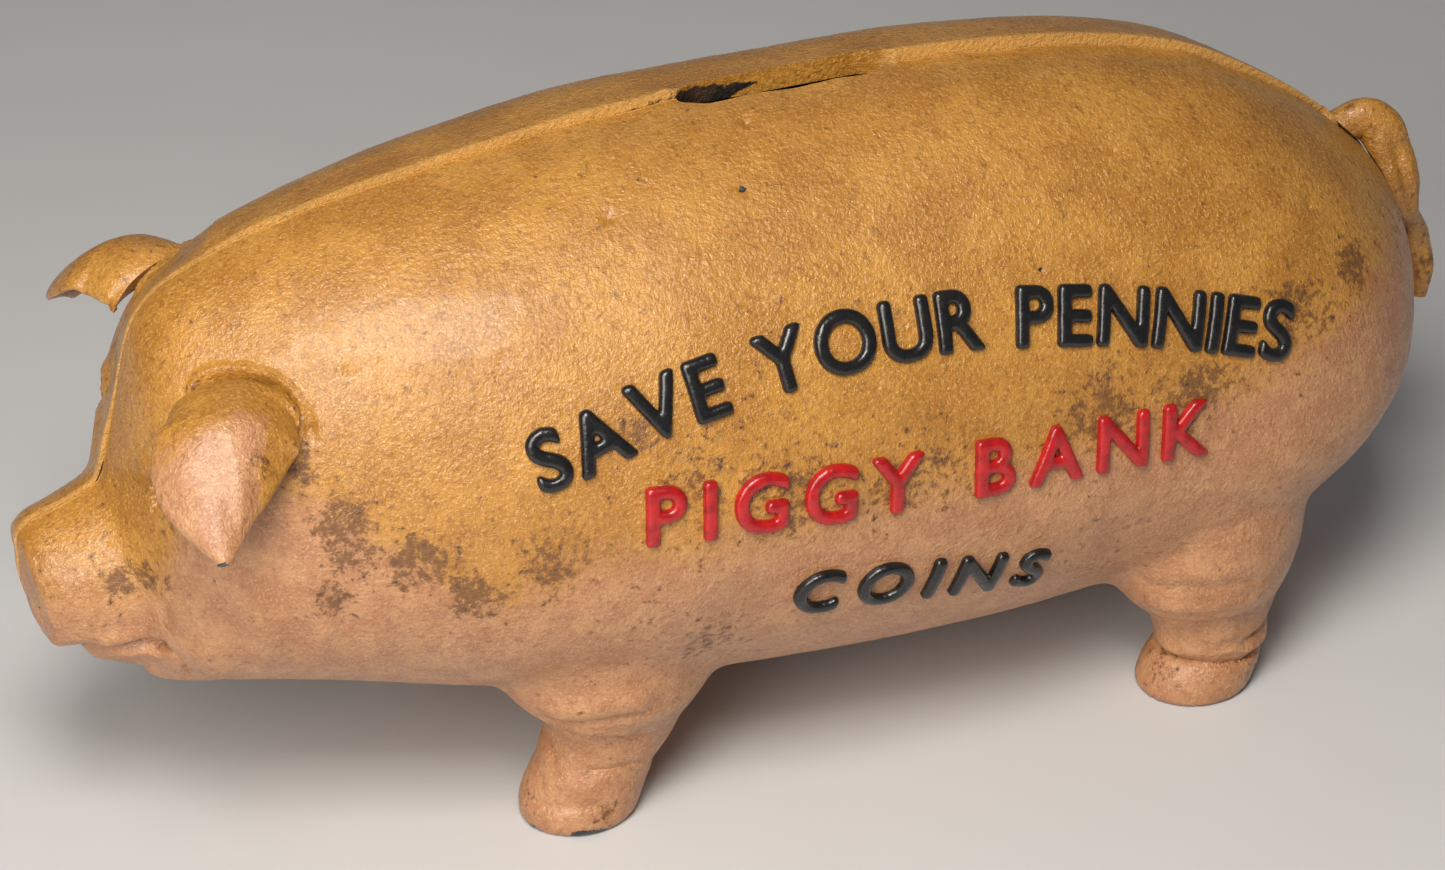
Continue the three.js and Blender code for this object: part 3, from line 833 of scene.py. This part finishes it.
def make_half(name, side):
    """The left half for side -1, the right half for side 1."""
    half = duplicate(pig, name)
    points = get_points(half)
    set_points(half, points + get_normals(half) * edge_relief(points, side)[:, None])
    cut(half, body_shape("chamber", -WALL, 72, 90))
    for radius, places in ((POST_RADIUS, POSTS.values()), (LUG_RADIUS, LUGS)):
        for x, z in places:
            post = round_bar(radius, (x, -2 * side, z), (x, side * flank_at(x, z), z))
            combine(post, body_shape("core", -0.5 * WALL, 64, 60), "INTERSECT")
            add(half, post)
    ends = sorted((side * HALF_GAP, side * FAR))
    combine(half, block((-FAR, ends[0], -FAR), (FAR, ends[1], FAR)), "INTERSECT")
    cut(half, slot_tool())
    peg = [TAIL_ROOT[0] - 13, 0, TAIL_ROOT[2] - 7.8], [TAIL_ROOT[0] + 4, 0, TAIL_ROOT[2] + 2.4]
    cut(half, round_bar(TAIL_PEG_RADIUS + FIT_GAP, *peg))
    cut(half, round_bar(TANG_RADIUS + FIT_GAP, *tang_ends(side)))
    for x, z in POSTS.values():
        if side < 0:
            bore = round_bar(SCREW_RADIUS + THREAD_GAP, (x, 1, z), (x, -THREAD_DEPTH - 3, z))
            cut(half, bore)
            continue
        cut(half, round_bar(SCREW_RADIUS + SCREW_CLEARANCE, (x, -1, z), (x, FAR, z)))
        seat = head_seat(x, z) - FIT_GAP
        cut(half, round_bar(HEAD_RADIUS + FIT_GAP, (x, seat, z), (x, FAR, z)))
    for x, z in LUGS:
        if side < 0:
            add(half, round_bar(PEG_RADIUS, (x, -2, z), (x, PEG_LENGTH, z), 24))
        else:
            socket = round_bar(PEG_RADIUS + PEG_CLEARANCE, (x, -1, z), (x, PEG_LENGTH + 1, z), 24)
            cut(half, socket)
    paint_values(half)
    shade_smooth(half, 38)
    return half


left_half = make_half("left_casting", -1)
right_half = make_half("right_casting", 1)
bpy.data.objects.remove(pig)
for half in (left_half, right_half):
    print(half.name, sum(len(f.vertices) - 2 for f in half.data.polygons), "triangles")

# %% [markdown]
# ## Ears
# Each ear is a shell: thin, bulging on top, hollow underneath, with a rounded rim and a blunt tip that
# points outwards. It is a sphere whose rings follow a curve, wide in the middle of the curve and narrow
# at the tip. Its root is cut to the head's shape, and a tang runs from there into the hole in the head.

# %% A limb along a curve
def limb_shape(name, line, across, half_width, half_thick, around, rings, shape=None):
    """An oval limb along a curve. shape(share, turn, s, h) may change a section's across and up lengths."""
    obj, share, turn, open_ring = ringed_sphere(around, rings)
    obj.name = name
    columns = [smooth_line(range(len(line)), column) for column in np.array(line, float).T]

    def point(t):
        return np.column_stack([column(np.clip(t, 0, 1) * (len(line) - 1)) for column in columns])

    ahead = point(share + 0.01) - point(share - 0.01)
    ahead /= np.linalg.norm(ahead, axis=1)[:, None]
    across = np.array(across, float)
    side = across - (ahead @ across)[:, None] * ahead
    side /= np.linalg.norm(side, axis=1)[:, None]
    up = np.cross(side, ahead)
    s = np.cos(turn) * half_width(share) * open_ring
    h = np.sin(turn) * half_thick(share) * open_ring
    if shape:
        s, h = shape(share, turn, s, h)
    set_points(obj, point(share) + side * s[:, None] + up * h[:, None])
    recalculate_outside(obj)
    return obj, share, s


def roughen(obj, size, depth):
    """Makes a small casting uneven. Returns its points as they were before."""
    points = get_points(obj)
    rough = np.array([noise.fractal(Vector(p) / size, 1, 2, 3) for p in points])
    set_points(obj, points + get_normals(obj) * depth * rough[:, None])
    return points


def nearest_index(points, obj):
    """For each point of the mesh, the index of the nearest one of the given points."""
    tree = tree_of(points)
    return [tree.find(p)[1] for p in get_points(obj)]


EAR_LINE = [(4, -5, -6), (-0.8, 2, 1.5), (-4, 8.5, 1.3), (-7.8, 15.5, -3.5), (-10.2, 22, -10),
            (-11.2, 28.2, -16)]
EAR_CUP = 0.024
EAR_FRONT = smooth_line((0, 0.2, 0.36, 0.52, 0.68, 0.85, 1), (1, 0.94, 0.88, 0.98, 1.13, 1.15, 1))


def ear_section(share, turn, s, h):
    """Fills out the front edge, bends the edges down, hollows the underside and leaves a rounded rim."""
    s = np.where(s < 0, s * EAR_FRONT(share), s)
    middle = 1 - np.abs(np.cos(turn)) ** 3
    under = np.sin(turn) > 0
    h = np.where(under, h * (1 - 1.25 * middle * fade(np.abs(share - 0.62), 0.5)), h)
    front_dip = 0.8 * fade(np.hypot((share - 0.62) / 0.16, (s + 1.5) / 6), 1)
    rear_ridge = 0.7 * fade(np.hypot((share - 0.74) / 0.22, (s - 4.4) / 3), 1)
    top = np.where(under, 0, front_dip - rear_ridge)
    return s, h + top + EAR_CUP * s * s


def make_ears():
    x, y, z = EAR_ROOT
    line = [(x + dx, -(y + dy), z + dz) for dx, dy, dz in EAR_LINE]
    width = smooth_line((0, 0.2, 0.42, 0.7, 0.88, 1), (10.5, 12.6, 13.6, 9.8, 4.8, 1.3))
    thick = smooth_line((0, 0.25, 0.5, 0.8, 1), (4, 4.4, 3.4, 2.5, 1.5))
    across = (0.95, -0.2, -0.05)
    left, share, s = limb_shape("left_ear_casting", line, across, width, thick, 72, 64, ear_section)
    before, shares = roughen(left, 7, 0.22), np.clip(share, 0, 1)
    golden = 0.5 + 0.35 * np.clip(np.maximum((0.46 - 0.01 * s - shares) * 6, (s - 7.5) * 0.35), -1, 1)
    # Painted shade with some dirt: darker at the root and along the rear edge that lies close to the head.
    shade_and_dirt = 0.75 * fade(np.hypot((shares - 0.55) / 0.2, (s - 8) / 5), 1) + 0.6 * fade(shares, 0.3)
    chipped = 0.8 * fade(np.abs(shares - 1), 0.014) * (s < 0.2)
    cut(left, body_shape("head", 0.3, 96, 160))
    add(left, round_bar(TANG_RADIUS, *tang_ends(-1)))
    nearest = nearest_index(before, left)
    for name, values in (("gold", golden), ("grime_and_shade", shade_and_dirt), ("chip", chipped)):
        store(left, name, values[nearest])
    points = get_points(left)
    in_head = np.abs(points[:, 1]) < flank_at(points[:, 0], points[:, 2]) - 0.6
    store(left, "bare", in_head)
    store(left, "edge", np.zeros(len(points)))
    right = duplicate(left, "right_ear_casting")
    set_points(right, get_points(right) * (1, -1, 1))
    recalculate_outside(right)
    return left, right


left_ear, right_ear = make_ears()
for ear in (left_ear, right_ear):
    shade_smooth(ear, 40)
    print(ear.name, face_count(ear), "faces")

# %% [markdown]
# ## Tail
# The tail is one flat ribbon of iron that leaves the rump, turns over on itself and hangs down beside it.
# Its peg is gripped between the halves. The ribbon has a groove down its middle and a pinch where it
# turns over.

# %% Make the tail
TAIL_LINE = [
    (-3, 0, -5), (3.5, 0, -2.5), (7.5, -1, -1.5), (11, -3, -4), (12.5, -5, -9.5), (14, -7.5, -15.5),
    (16, -8, -21.5), (18, -6, -24.5), (20.5, -4, -28), (22.5, -3.5, -33.5), (23.5, -4.5, -39.5),
    (23, -6, -46),
]


def tail_section(share, turn, s, h):
    """Presses a groove down the outer face of the ribbon and rounds its two edges."""
    facing = np.clip(-np.cos(turn), 0, 1)
    groove = 1.1 * fade(np.abs(h + 0.4) / 2.2, 1) * fade(np.abs(share - 0.42), 0.2) * facing
    lower = 0.6 * fade(np.abs(h) / 1.6, 1) * fade(np.abs(share - 0.84), 0.14) * facing
    return s + groove + lower, h


def make_tail():
    line = [(TAIL_ROOT[0] + x, y, TAIL_ROOT[2] + z) for x, y, z in TAIL_LINE]
    thick = smooth_line((0, 0.18, 0.36, 0.55, 0.64, 0.8, 0.92, 1), (3.6, 3.6, 3.2, 2.4, 2, 2.6, 2.4, 1.3))
    wide = smooth_line(
        (0, 0.18, 0.3, 0.38, 0.46, 0.58, 0.66, 0.82, 0.92, 1),
        (3.6, 4.6, 5.1, 5.2, 4.5, 2.5, 2.2, 3, 2.7, 1.4)
    )
    tail, share, s = limb_shape("tail_casting", line, (0, 1, 0), thick, wide, 56, 120, tail_section)
    before = roughen(tail, 5, 0.2)
    # Painted shadow where the ribbon turns over and on its lower end, over a little grime all along.
    shade_and_dirt = 0.6 * fade(np.abs(share - 0.62), 0.05) + 0.45 * fade(np.abs(share - 0.9), 0.12) + 0.3
    cut(tail, body_shape("rump", 0.3, 96, 160))
    inner = (TAIL_ROOT[0] - 9, 0, TAIL_ROOT[2] - 5.4)
    add(tail, round_bar(TAIL_PEG_RADIUS, inner, TAIL_ROOT))
    nearest = nearest_index(before, tail)
    store(tail, "gold", np.full(len(nearest), 0.72))
    store(tail, "grime_and_shade", shade_and_dirt[nearest])
    for name in ("chip", "edge"):
        store(tail, name, np.zeros(len(nearest)))
    store(tail, "bare", get_points(tail)[:, 0] < TAIL_ROOT[0] - 3)
    shade_smooth(tail, 40)
    return tail


tail = make_tail()
print(tail.name, face_count(tail), "faces")

# %% [markdown]
# ## Screws
# A filled circle is extruded along the screw's axis ring by ring. The rings of the last stretch are moved
# in and out along a helix, which gives a real thread, and the driver slot is cut across the domed head.

# %% Make the screws
THREAD_PITCH = 1.27
THREAD_HEIGHT = 0.3
RINGS_PER_TURN = 8
DRIVER_WIDTH = DRIVER_DEPTH = 1.6


def make_screw(name, x, z):
    seat = head_seat(x, z)
    tip = -HALF_GAP - THREAD_DEPTH
    step = THREAD_PITCH / RINGS_PER_TURN
    low_radius = SCREW_RADIUS - THREAD_HEIGHT
    rings = [(tip, 1.4), (tip + 0.9, low_radius)]
    rings += [(y, low_radius) for y in np.arange(tip + 0.9 + step, -1, step)]
    rings += [(-0.6, SCREW_RADIUS), (seat, SCREW_RADIUS)]
    rings += [(seat, HEAD_RADIUS - 0.2), (seat + 0.2, HEAD_RADIUS)]
    for rise, share in ((0.3, 1), (0.5, 0.94), (0.72, 0.8), (0.86, 0.62), (0.95, 0.4), (1, 0.15)):
        rings.append((seat + rise * HEAD_HEIGHT, share * HEAD_RADIUS))
    deselect()
    bpy.ops.mesh.primitive_circle_add(
        vertices=40, radius=rings[0][1] * MM, fill_type="NGON",
        location=(x * MM, tip * MM, z * MM), rotation=(math.pi / 2, 0, 0),
    )
    screw = bake_place(bpy.context.object, name)
    to_mode("EDIT")
    bpy.ops.mesh.select_all(action="SELECT")
    for (y, radius), (next_y, next_radius) in zip(rings, rings[1:]):
        bpy.ops.mesh.extrude_region_move(TRANSFORM_OT_translate={"value": (0, (next_y - y) * MM, 0)})
        ratio = next_radius / radius
        bpy.ops.transform.resize(value=(ratio, 1, ratio), center_override=(x * MM, next_y * MM, z * MM))
    recalculate_outside(screw)
    points = get_points(screw)
    out = points[:, [0, 2]] - (x, z)
    radius = np.hypot(*out.T)
    phase = (points[:, 1] / THREAD_PITCH + np.arctan2(out[:, 1], out[:, 0]) / (2 * math.pi)) % 1
    crest = THREAD_HEIGHT * (1 - np.abs(2 * phase - 1)) * (points[:, 1] < -1.5) * (points[:, 1] > tip + 0.5)
    points[:, [0, 2]] += out / np.maximum(radius, 0.01)[:, None] * crest[:, None]
    set_points(screw, points)
    top = seat + HEAD_HEIGHT
    driver = block((x - 9, top - DRIVER_DEPTH, z - DRIVER_WIDTH / 2), (x + 9, top + 9, z + DRIVER_WIDTH / 2))
    cut(screw, driver)
    shade_smooth(screw, 32)
    return screw


screws = {name: make_screw(name + "_turned", x, z) for name, (x, z) in POSTS.items()}
for name, screw in screws.items():
    print(screw.name, face_count(screw), "faces")

# %% [markdown]
# ## Raised lettering
# Three lines of generic words stand proud of the left flank. Cast letters have round edges and fat
# strokes, because the sand pulls away from them and thick enamel pools on top. Each letter is typed, made
# a mesh, remeshed and smoothed until it is puffy, and then laid on the flank along its line.

# %% Type the letters and lay them on the flank
LETTER_VOXEL = 0.36
LETTER_SWELL = 0.46
LETTER_PROUD, LETTER_SUNK = 1.15, 1.0
LETTER_LINES = {
    "top_letters": (
        "SAVE YOUR PENNIES", 11.6, 0.018,
        [(-68, 91.6), (-56, 94.8), (-44, 99), (-27.5, 101.9), (-4, 103.9), (19, 103.2), (36, 100.7),
         (52, 97.6), (71, 92.6), (91, 86.2)],
    ),
    "middle_letters": (
        "PIGGY BANK", 11.8, 0.016,
        [(-49, 78.6), (-30, 77.6), (-7, 75.4), (23, 73.6), (45, 72.6), (72, 71)],
    ),
    "lower_letters": (
        "COINS", 10.8, 0.018,
        [(-19, 55), (0, 52.4), (18, 49.4), (37, 46.2)],
    ),
}


def flank_point(x, z):
    """Points on the left flank, and the flank's outward normals there."""
    y = -flank_at(x, z)
    along = (-flank_at(x + 0.5, z) + flank_at(x - 0.5, z))
    upward = (-flank_at(x, z + 0.5) + flank_at(x, z - 0.5))
    normal = np.column_stack([along, -np.ones_like(y), upward])
    return np.column_stack([x, y, z]), normal / np.linalg.norm(normal, axis=1)[:, None]


def typed_letter(character, cap_height, boldness):
    """One letter lying flat, its face up, with its middle at x = 0 and its foot at y = 0."""
    deselect()
    bpy.ops.object.text_add()
    obj = bpy.context.object
    obj.data.body = character
    obj.data.size = cap_height * MM / 0.73
    obj.data.offset = boldness * cap_height * MM
    obj.data.extrude = (LETTER_PROUD + LETTER_SUNK) / 2 * MM
    bpy.ops.object.convert(target="MESH")
    apply_modifier(obj, "REMESH", mode="VOXEL", voxel_size=LETTER_VOXEL * MM, adaptivity=0)
    apply_modifier(obj, "SMOOTH", factor=0.5, iterations=3)
    points = get_points(obj) + get_normals(obj) * LETTER_SWELL
    set_points(obj, points)
    apply_modifier(obj, "SMOOTH", factor=0.5, iterations=3)
    points = get_points(obj)
    points[:, 0] -= (points[:, 0].min() + points[:, 0].max()) / 2
    points[:, 2] += (LETTER_PROUD - LETTER_SUNK) / 2
    set_points(obj, points)
    return obj


def at_length(along, columns, length):
    """The row of values at a length along a line, read between its samples."""
    return np.array([np.interp(length, along, column) for column in columns.T])


def letter_line(name, words, cap_height, boldness, base):
    base = path_through([(x, z, 0) for x, z in base], 0.5)[:, :2]
    on_flank, normals = flank_point(base[:, 0], base[:, 1])
    along = np.concatenate([[0], np.cumsum(np.linalg.norm(np.diff(on_flank, axis=0), axis=1))])
    letters = [None if c == " " else typed_letter(c, cap_height, boldness) for c in words]
    widths = [0.42 * cap_height if o is None else np.ptp(get_points(o)[:, 0]) for o in letters]
    spacing = (along[-1] - sum(widths)) / (len(words) - 1)
    place = 0
    for letter, width in zip(letters, widths):
        middle = place + width / 2
        place += width + spacing
        if letter is None:
            continue
        origin, normal = (at_length(along, columns, middle) for columns in (on_flank, normals))
        ahead = at_length(along, on_flank, middle + 1) - at_length(along, on_flank, middle - 1)
        ahead -= normal * (ahead @ normal)
        ahead /= np.linalg.norm(ahead)
        upward = np.cross(normal, ahead)
        local = get_points(letter)
        laid = origin + local[:, :1] * ahead + local[:, 1:2] * upward
        foot, out = flank_point(laid[:, 0], laid[:, 2])
        skin = np.array([skin_tree.find(p)[0] for p in foot])
        lift = np.clip(((skin - foot) * out).sum(1), -2, 1)
        set_points(letter, foot + out * (local[:, 2] + lift)[:, None])
    shown = [o for o in letters if o]
    select_only(shown[0])
    for letter in shown:
        letter.select_set(True)
    bpy.ops.object.join()
    line = bake_place(bpy.context.object, name)
    line.data.materials.clear()
    recalculate_outside(line)
    bpy.ops.object.shade_smooth()
    return line


letters = {name: letter_line(name, *settings) for name, settings in LETTER_LINES.items()}
for name, line in letters.items():
    print(name, face_count(line), "faces")

# %% [markdown]
# ## Finishes
# A finish is a small graph of nodes. Its maths is easier to read as an expression, so one class wraps a
# socket and turns plus and times into Math nodes.

# %% Writing a finish as an expression
class Wire:
    """A socket in a finish. Arithmetic on it adds Math nodes."""

    def __init__(self, finish, socket):
        self.finish, self.socket = finish, socket

    def math(self, operation, first, second):
        return self.finish.node("ShaderNodeMath", {"operation": operation}, {0: first, 1: second})

    def __add__(self, other):
        return self.math("ADD", self, other)

    def __sub__(self, other):
        return self.math("SUBTRACT", self, other)

    def __mul__(self, other):
        return self.math("MULTIPLY", self, other)

    def __rsub__(self, other):
        return self.math("SUBTRACT", other, self)

    __radd__, __rmul__ = __add__, __mul__

    def between(self, low, high):
        """0 below low, 1 above high, and a soft step from one to the other."""
        soft = {"interpolation_type": "SMOOTHSTEP"}
        return self.finish.node("ShaderNodeMapRange", soft, {0: self, 1: low, 2: high})


class Finish:
    """A material with one Principled shader. Places are in millimetres."""

    def __init__(self, name):
        self.material = bpy.data.materials.new(name)
        self.material.use_nodes = True
        self.tree = self.material.node_tree
        self.shader = self.tree.nodes["Principled BSDF"]
        coordinates = self.node("ShaderNodeTexCoord", output=3)
        in_millimetres = {0: coordinates, "Scale": 1 / MM}
        self.place = self.node("ShaderNodeVectorMath", {"operation": "SCALE"}, in_millimetres)

    def node(self, kind, settings=None, inputs=None, output=0):
        made = self.tree.nodes.new(kind)
        for key, value in (settings or {}).items():
            setattr(made, key, value)
        for key, value in (inputs or {}).items():
            self.connect(made.inputs[key], value)
        return Wire(self, made.outputs[output])

    def connect(self, socket, value):
        if isinstance(value, Wire):
            self.tree.links.new(value.socket, socket)
        else:
            socket.default_value = value

    def set(self, **sockets):
        for key, value in sockets.items():
            self.connect(self.shader.inputs[key.replace("_", " ")], value)

    def noise(self, size, detail=3, roughness=0.55):
        """Noise from 0 to 1 with features about `size` millimetres wide."""
        inputs = {"Vector": self.place, "Scale": 1 / size, "Detail": detail, "Roughness": roughness}
        return self.node("ShaderNodeTexNoise", None, inputs)

    def mix(self, share, first, second, blend="MIX"):
        settings = {"data_type": "RGBA", "blend_type": blend}
        return self.node("ShaderNodeMix", settings, {0: share, 6: first, 7: second}, output=2)

    def value(self, name):
        """A number kept on the mesh's points."""
        return self.node("ShaderNodeAttribute", {"attribute_name": name}, output=2)

    def bump(self, height):
        """Bump from a height in millimetres."""
        return self.node("ShaderNodeBump", None, {"Height": height, "Distance": MM, "Strength": 1})


def colour(red, green, blue):
    return (red, green, blue, 1)


print("finishes ready")

# %% [markdown]
# ## Old varnished paint
# The pig was painted flesh pink and gold by hand and varnished. Grime has browned it in places, and
# the creases, the ear roots and the tail's turn are painted darker as shade. A lighter band along the
# joint is partly rubbed paint and partly a painted highlight. The soft values on the points say where
# each colour is. Noise at two sizes makes their edges ragged. The skin of sand-cast iron shows through
# the paint as fine orange peel, which makes the highlights sparkle.

# %% Paint for the castings
def old_paint(name):
    paint = Finish(name)
    wide, broad, small = paint.noise(16, 4), paint.noise(7, 4, 0.65), paint.noise(1.7, 3, 0.6)
    specks, grain = paint.noise(0.55, 2, 0.5), paint.noise(0.28, 2)
    gold = (paint.value("gold") + 0.5 * (broad - 0.5) + 0.25 * (small - 0.5)).between(0.33, 0.67)
    ragged = 1.1 * (broad - 0.5) + 1.5 * (small - 0.5) + 0.9 * (specks - 0.5)
    # Grime and painted shade in one mask: stains, darker creases, the ear roots and the tail's turn.
    grime_and_shade_soft = 0.75 * paint.value("grime_and_shade") + ragged
    grime_and_shade = grime_and_shade_soft.between(0.4, 0.82)
    chip = (paint.value("chip") + 0.7 * (small - 0.5) + 0.3 * (specks - 0.5)).between(0.42, 0.5)
    bare = (paint.value("bare") + 0.35 * (small - 0.5) + 0.3 * (broad - 0.5)).between(0.46, 0.54)

    golden = paint.mix(wide.between(0.36, 0.64), colour(0.4, 0.165, 0.018), colour(0.52, 0.24, 0.036))
    golden = paint.mix(0.6 * small.between(0.45, 0.7), golden, colour(0.28, 0.1, 0.009))
    golden = paint.mix(0.5 * specks.between(0.5, 0.68), golden, colour(0.66, 0.38, 0.12))
    flesh = paint.mix(broad.between(0.35, 0.65), colour(0.42, 0.182, 0.076), colour(0.53, 0.263, 0.115))
    flesh = paint.mix(0.5 * small.between(0.45, 0.7), flesh, colour(0.34, 0.13, 0.05))
    flesh = paint.mix(0.45 * specks.between(0.5, 0.7), flesh, colour(0.68, 0.38, 0.2))
    tint = paint.mix(gold, flesh, golden)
    # One dark brown for grime and for painted shade.
    tint = paint.mix(0.85 * grime_and_shade, tint, colour(0.14, 0.05, 0.009))
    # A lighter band along the joint: rubbed paint, and a painted highlight on the lit step.
    edge = (paint.value("edge") + 0.9 * (broad - 0.5)).between(0.3, 0.8)
    tint = paint.mix(0.6 * edge, tint, colour(0.7, 0.4, 0.12))
    dark_specks = small.between(0.64, 0.72) * grime_and_shade_soft.between(0.1, 0.6)
    tint = paint.mix(0.8 * dark_specks, tint, colour(0.07, 0.028, 0.01))
    iron = paint.mix(broad.between(0.4, 0.62), colour(0.022, 0.018, 0.016), colour(0.085, 0.045, 0.026))
    tint = paint.mix(chip, tint, colour(0.012, 0.011, 0.011))
    tint = paint.mix(bare, tint, iron)

    roughness = 0.27 + 0.16 * small + 0.08 * (1 - gold) + 0.15 * grime_and_shade
    roughness = roughness + 0.25 * bare - 0.12 * specks.between(0.5, 0.66)
    peel = paint.noise(0.95, 2.5, 0.6)
    height = 0.42 * peel + 0.12 * grain + 0.22 * small - 0.15 * grime_and_shade * small - 0.12 * chip
    paint.set(
        Base_Color=tint, Roughness=roughness, Metallic=0.5 * bare, Normal=paint.bump(height),
        Coat_Weight=0.15, Coat_Roughness=0.16, IOR=1.65,
    )
    return paint.material


def enamel(name, base, shade, light):
    """Thick glossy enamel laid on by brush."""
    coat = Finish(name)
    pool, brush = coat.noise(2.6, 2), coat.noise(0.8, 2)
    worn = (coat.noise(1.4, 4, 0.7) + 0.25 * coat.noise(12, 2)).between(0.82, 0.87)
    tint = coat.mix(pool.between(0.35, 0.7), base, shade)
    tint = coat.mix(0.5 * worn, tint, light)
    height = 0.22 * pool + 0.05 * brush
    coat.set(
        Base_Color=tint, Roughness=0.2 + 0.2 * brush, Normal=coat.bump(height),
        Coat_Weight=0.3, Coat_Roughness=0.08,
    )
    return coat.material


def aged_steel(name):
    steel = Finish(name)
    rust, scratch = steel.noise(1.6, 4, 0.65), steel.noise(0.25, 3)
    rusty = rust.between(0.5, 0.66)
    tint = steel.mix(rusty, colour(0.3, 0.27, 0.23), colour(0.11, 0.045, 0.018))
    height = 0.05 * rust + 0.02 * scratch
    steel.set(
        Base_Color=tint, Roughness=0.32 + 0.35 * rusty, Metallic=1 - 0.75 * rusty, Normal=steel.bump(height),
    )
    return steel.material


cast_paint = old_paint("old_varnished_paint")
black_enamel = enamel(
    "black_enamel", colour(0.006, 0.006, 0.007), colour(0.011, 0.01, 0.01), colour(0.05, 0.035, 0.02)
)
red_enamel = enamel(
    "red_enamel", colour(0.46, 0.008, 0.01), colour(0.3, 0.005, 0.007), colour(0.55, 0.06, 0.05)
)
screw_steel = aged_steel("aged_steel")
pieces = {piece: cast_paint for piece in (left_half, right_half, left_ear, right_ear, tail)}
pieces |= {line: black_enamel for line in letters.values()}
pieces[letters["middle_letters"]] = red_enamel
pieces |= {screw: screw_steel for screw in screws.values()}
for piece, finish in pieces.items():
    piece.data.materials.clear()
    piece.data.materials.append(finish)
print(len(pieces), "pieces painted")

# %% [markdown]
# ## What moves with what
# The left ear, the tail and the letters stay on the left half, the right ear on the right half. Each
# screw draws out through the right half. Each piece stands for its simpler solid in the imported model.

# %% Riding and replacing
RIDES = (
    (left_half, "left_side", "left_half", "painted_iron"),
    (right_half, "right_side", "right_half", "painted_iron"),
    (left_ear, "left_side", "left_ear", "painted_iron"),
    (right_ear, "right_side", "right_ear", "painted_iron"),
    (tail, "left_side", "tail", "painted_iron"),
    (screws["front_screw"], "front_fixing", "front_screw", "screw_steel"),
    (screws["rear_screw"], "rear_fixing", "rear_screw", "screw_steel"),
)
for piece, body, node, slot in RIDES:
    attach(piece, body)
    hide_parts(node)
for line in letters.values():
    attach(line, "left_side")

# %% [markdown]
# ## Floor and light
# A plain pale floor and four soft lights. The key light stands high over the pig's left shoulder and
# makes the broad highlight that old varnish shows. A nearer one beside the head lets the light fall off
# towards the rump, and two weak ones keep the belly and the far side readable.

# %% Floor, lights and room
deselect()
bpy.ops.mesh.primitive_plane_add(size=8, location=(0, 0, 0))
floor = bpy.context.object
floor.name = "floor"
pale = Finish("pale_floor")
cloudy = pale.noise(90, 3)
pale.set(Base_Color=pale.mix(cloudy, colour(0.6, 0.6, 0.61), colour(0.66, 0.66, 0.67)), Roughness=0.8)
floor.data.materials.append(pale.material)


def soft_light(name, direction, distance, size, power):
    """A square soft light that faces the pig."""
    light = bpy.data.objects.new(name, bpy.data.lights.new(name, "AREA"))
    bpy.context.scene.collection.objects.link(light)
    towards = Vector(direction).normalized()
    light.location = AIM + towards * distance
    light.rotation_mode = "QUATERNION"
    light.rotation_quaternion = towards.to_track_quat("Z", "Y")
    light.data.size = size
    light.data.energy = power
    light.data.color = (1, 0.95, 0.87)
    return light


soft_light("key_light", (-0.26, -0.5, 0.82), 0.85, 0.3, 5.5)
soft_light("head_light", (-0.6, -0.6, 0.5), 0.65, 0.3, 2.15)
soft_light("low_light", (-1, -0.7, 0.2), 1.5, 0.6, 1.5)
soft_light("back_light", (0.3, 0.9, 0.9), 1.6, 0.8, 0.7)
room = bpy.data.worlds.new("room")
room.use_nodes = True
room.node_tree.nodes["Background"].inputs["Color"].default_value = (0.95, 0.96, 1, 1)
room.node_tree.nodes["Background"].inputs["Strength"].default_value = 0.12
bpy.context.scene.world = room
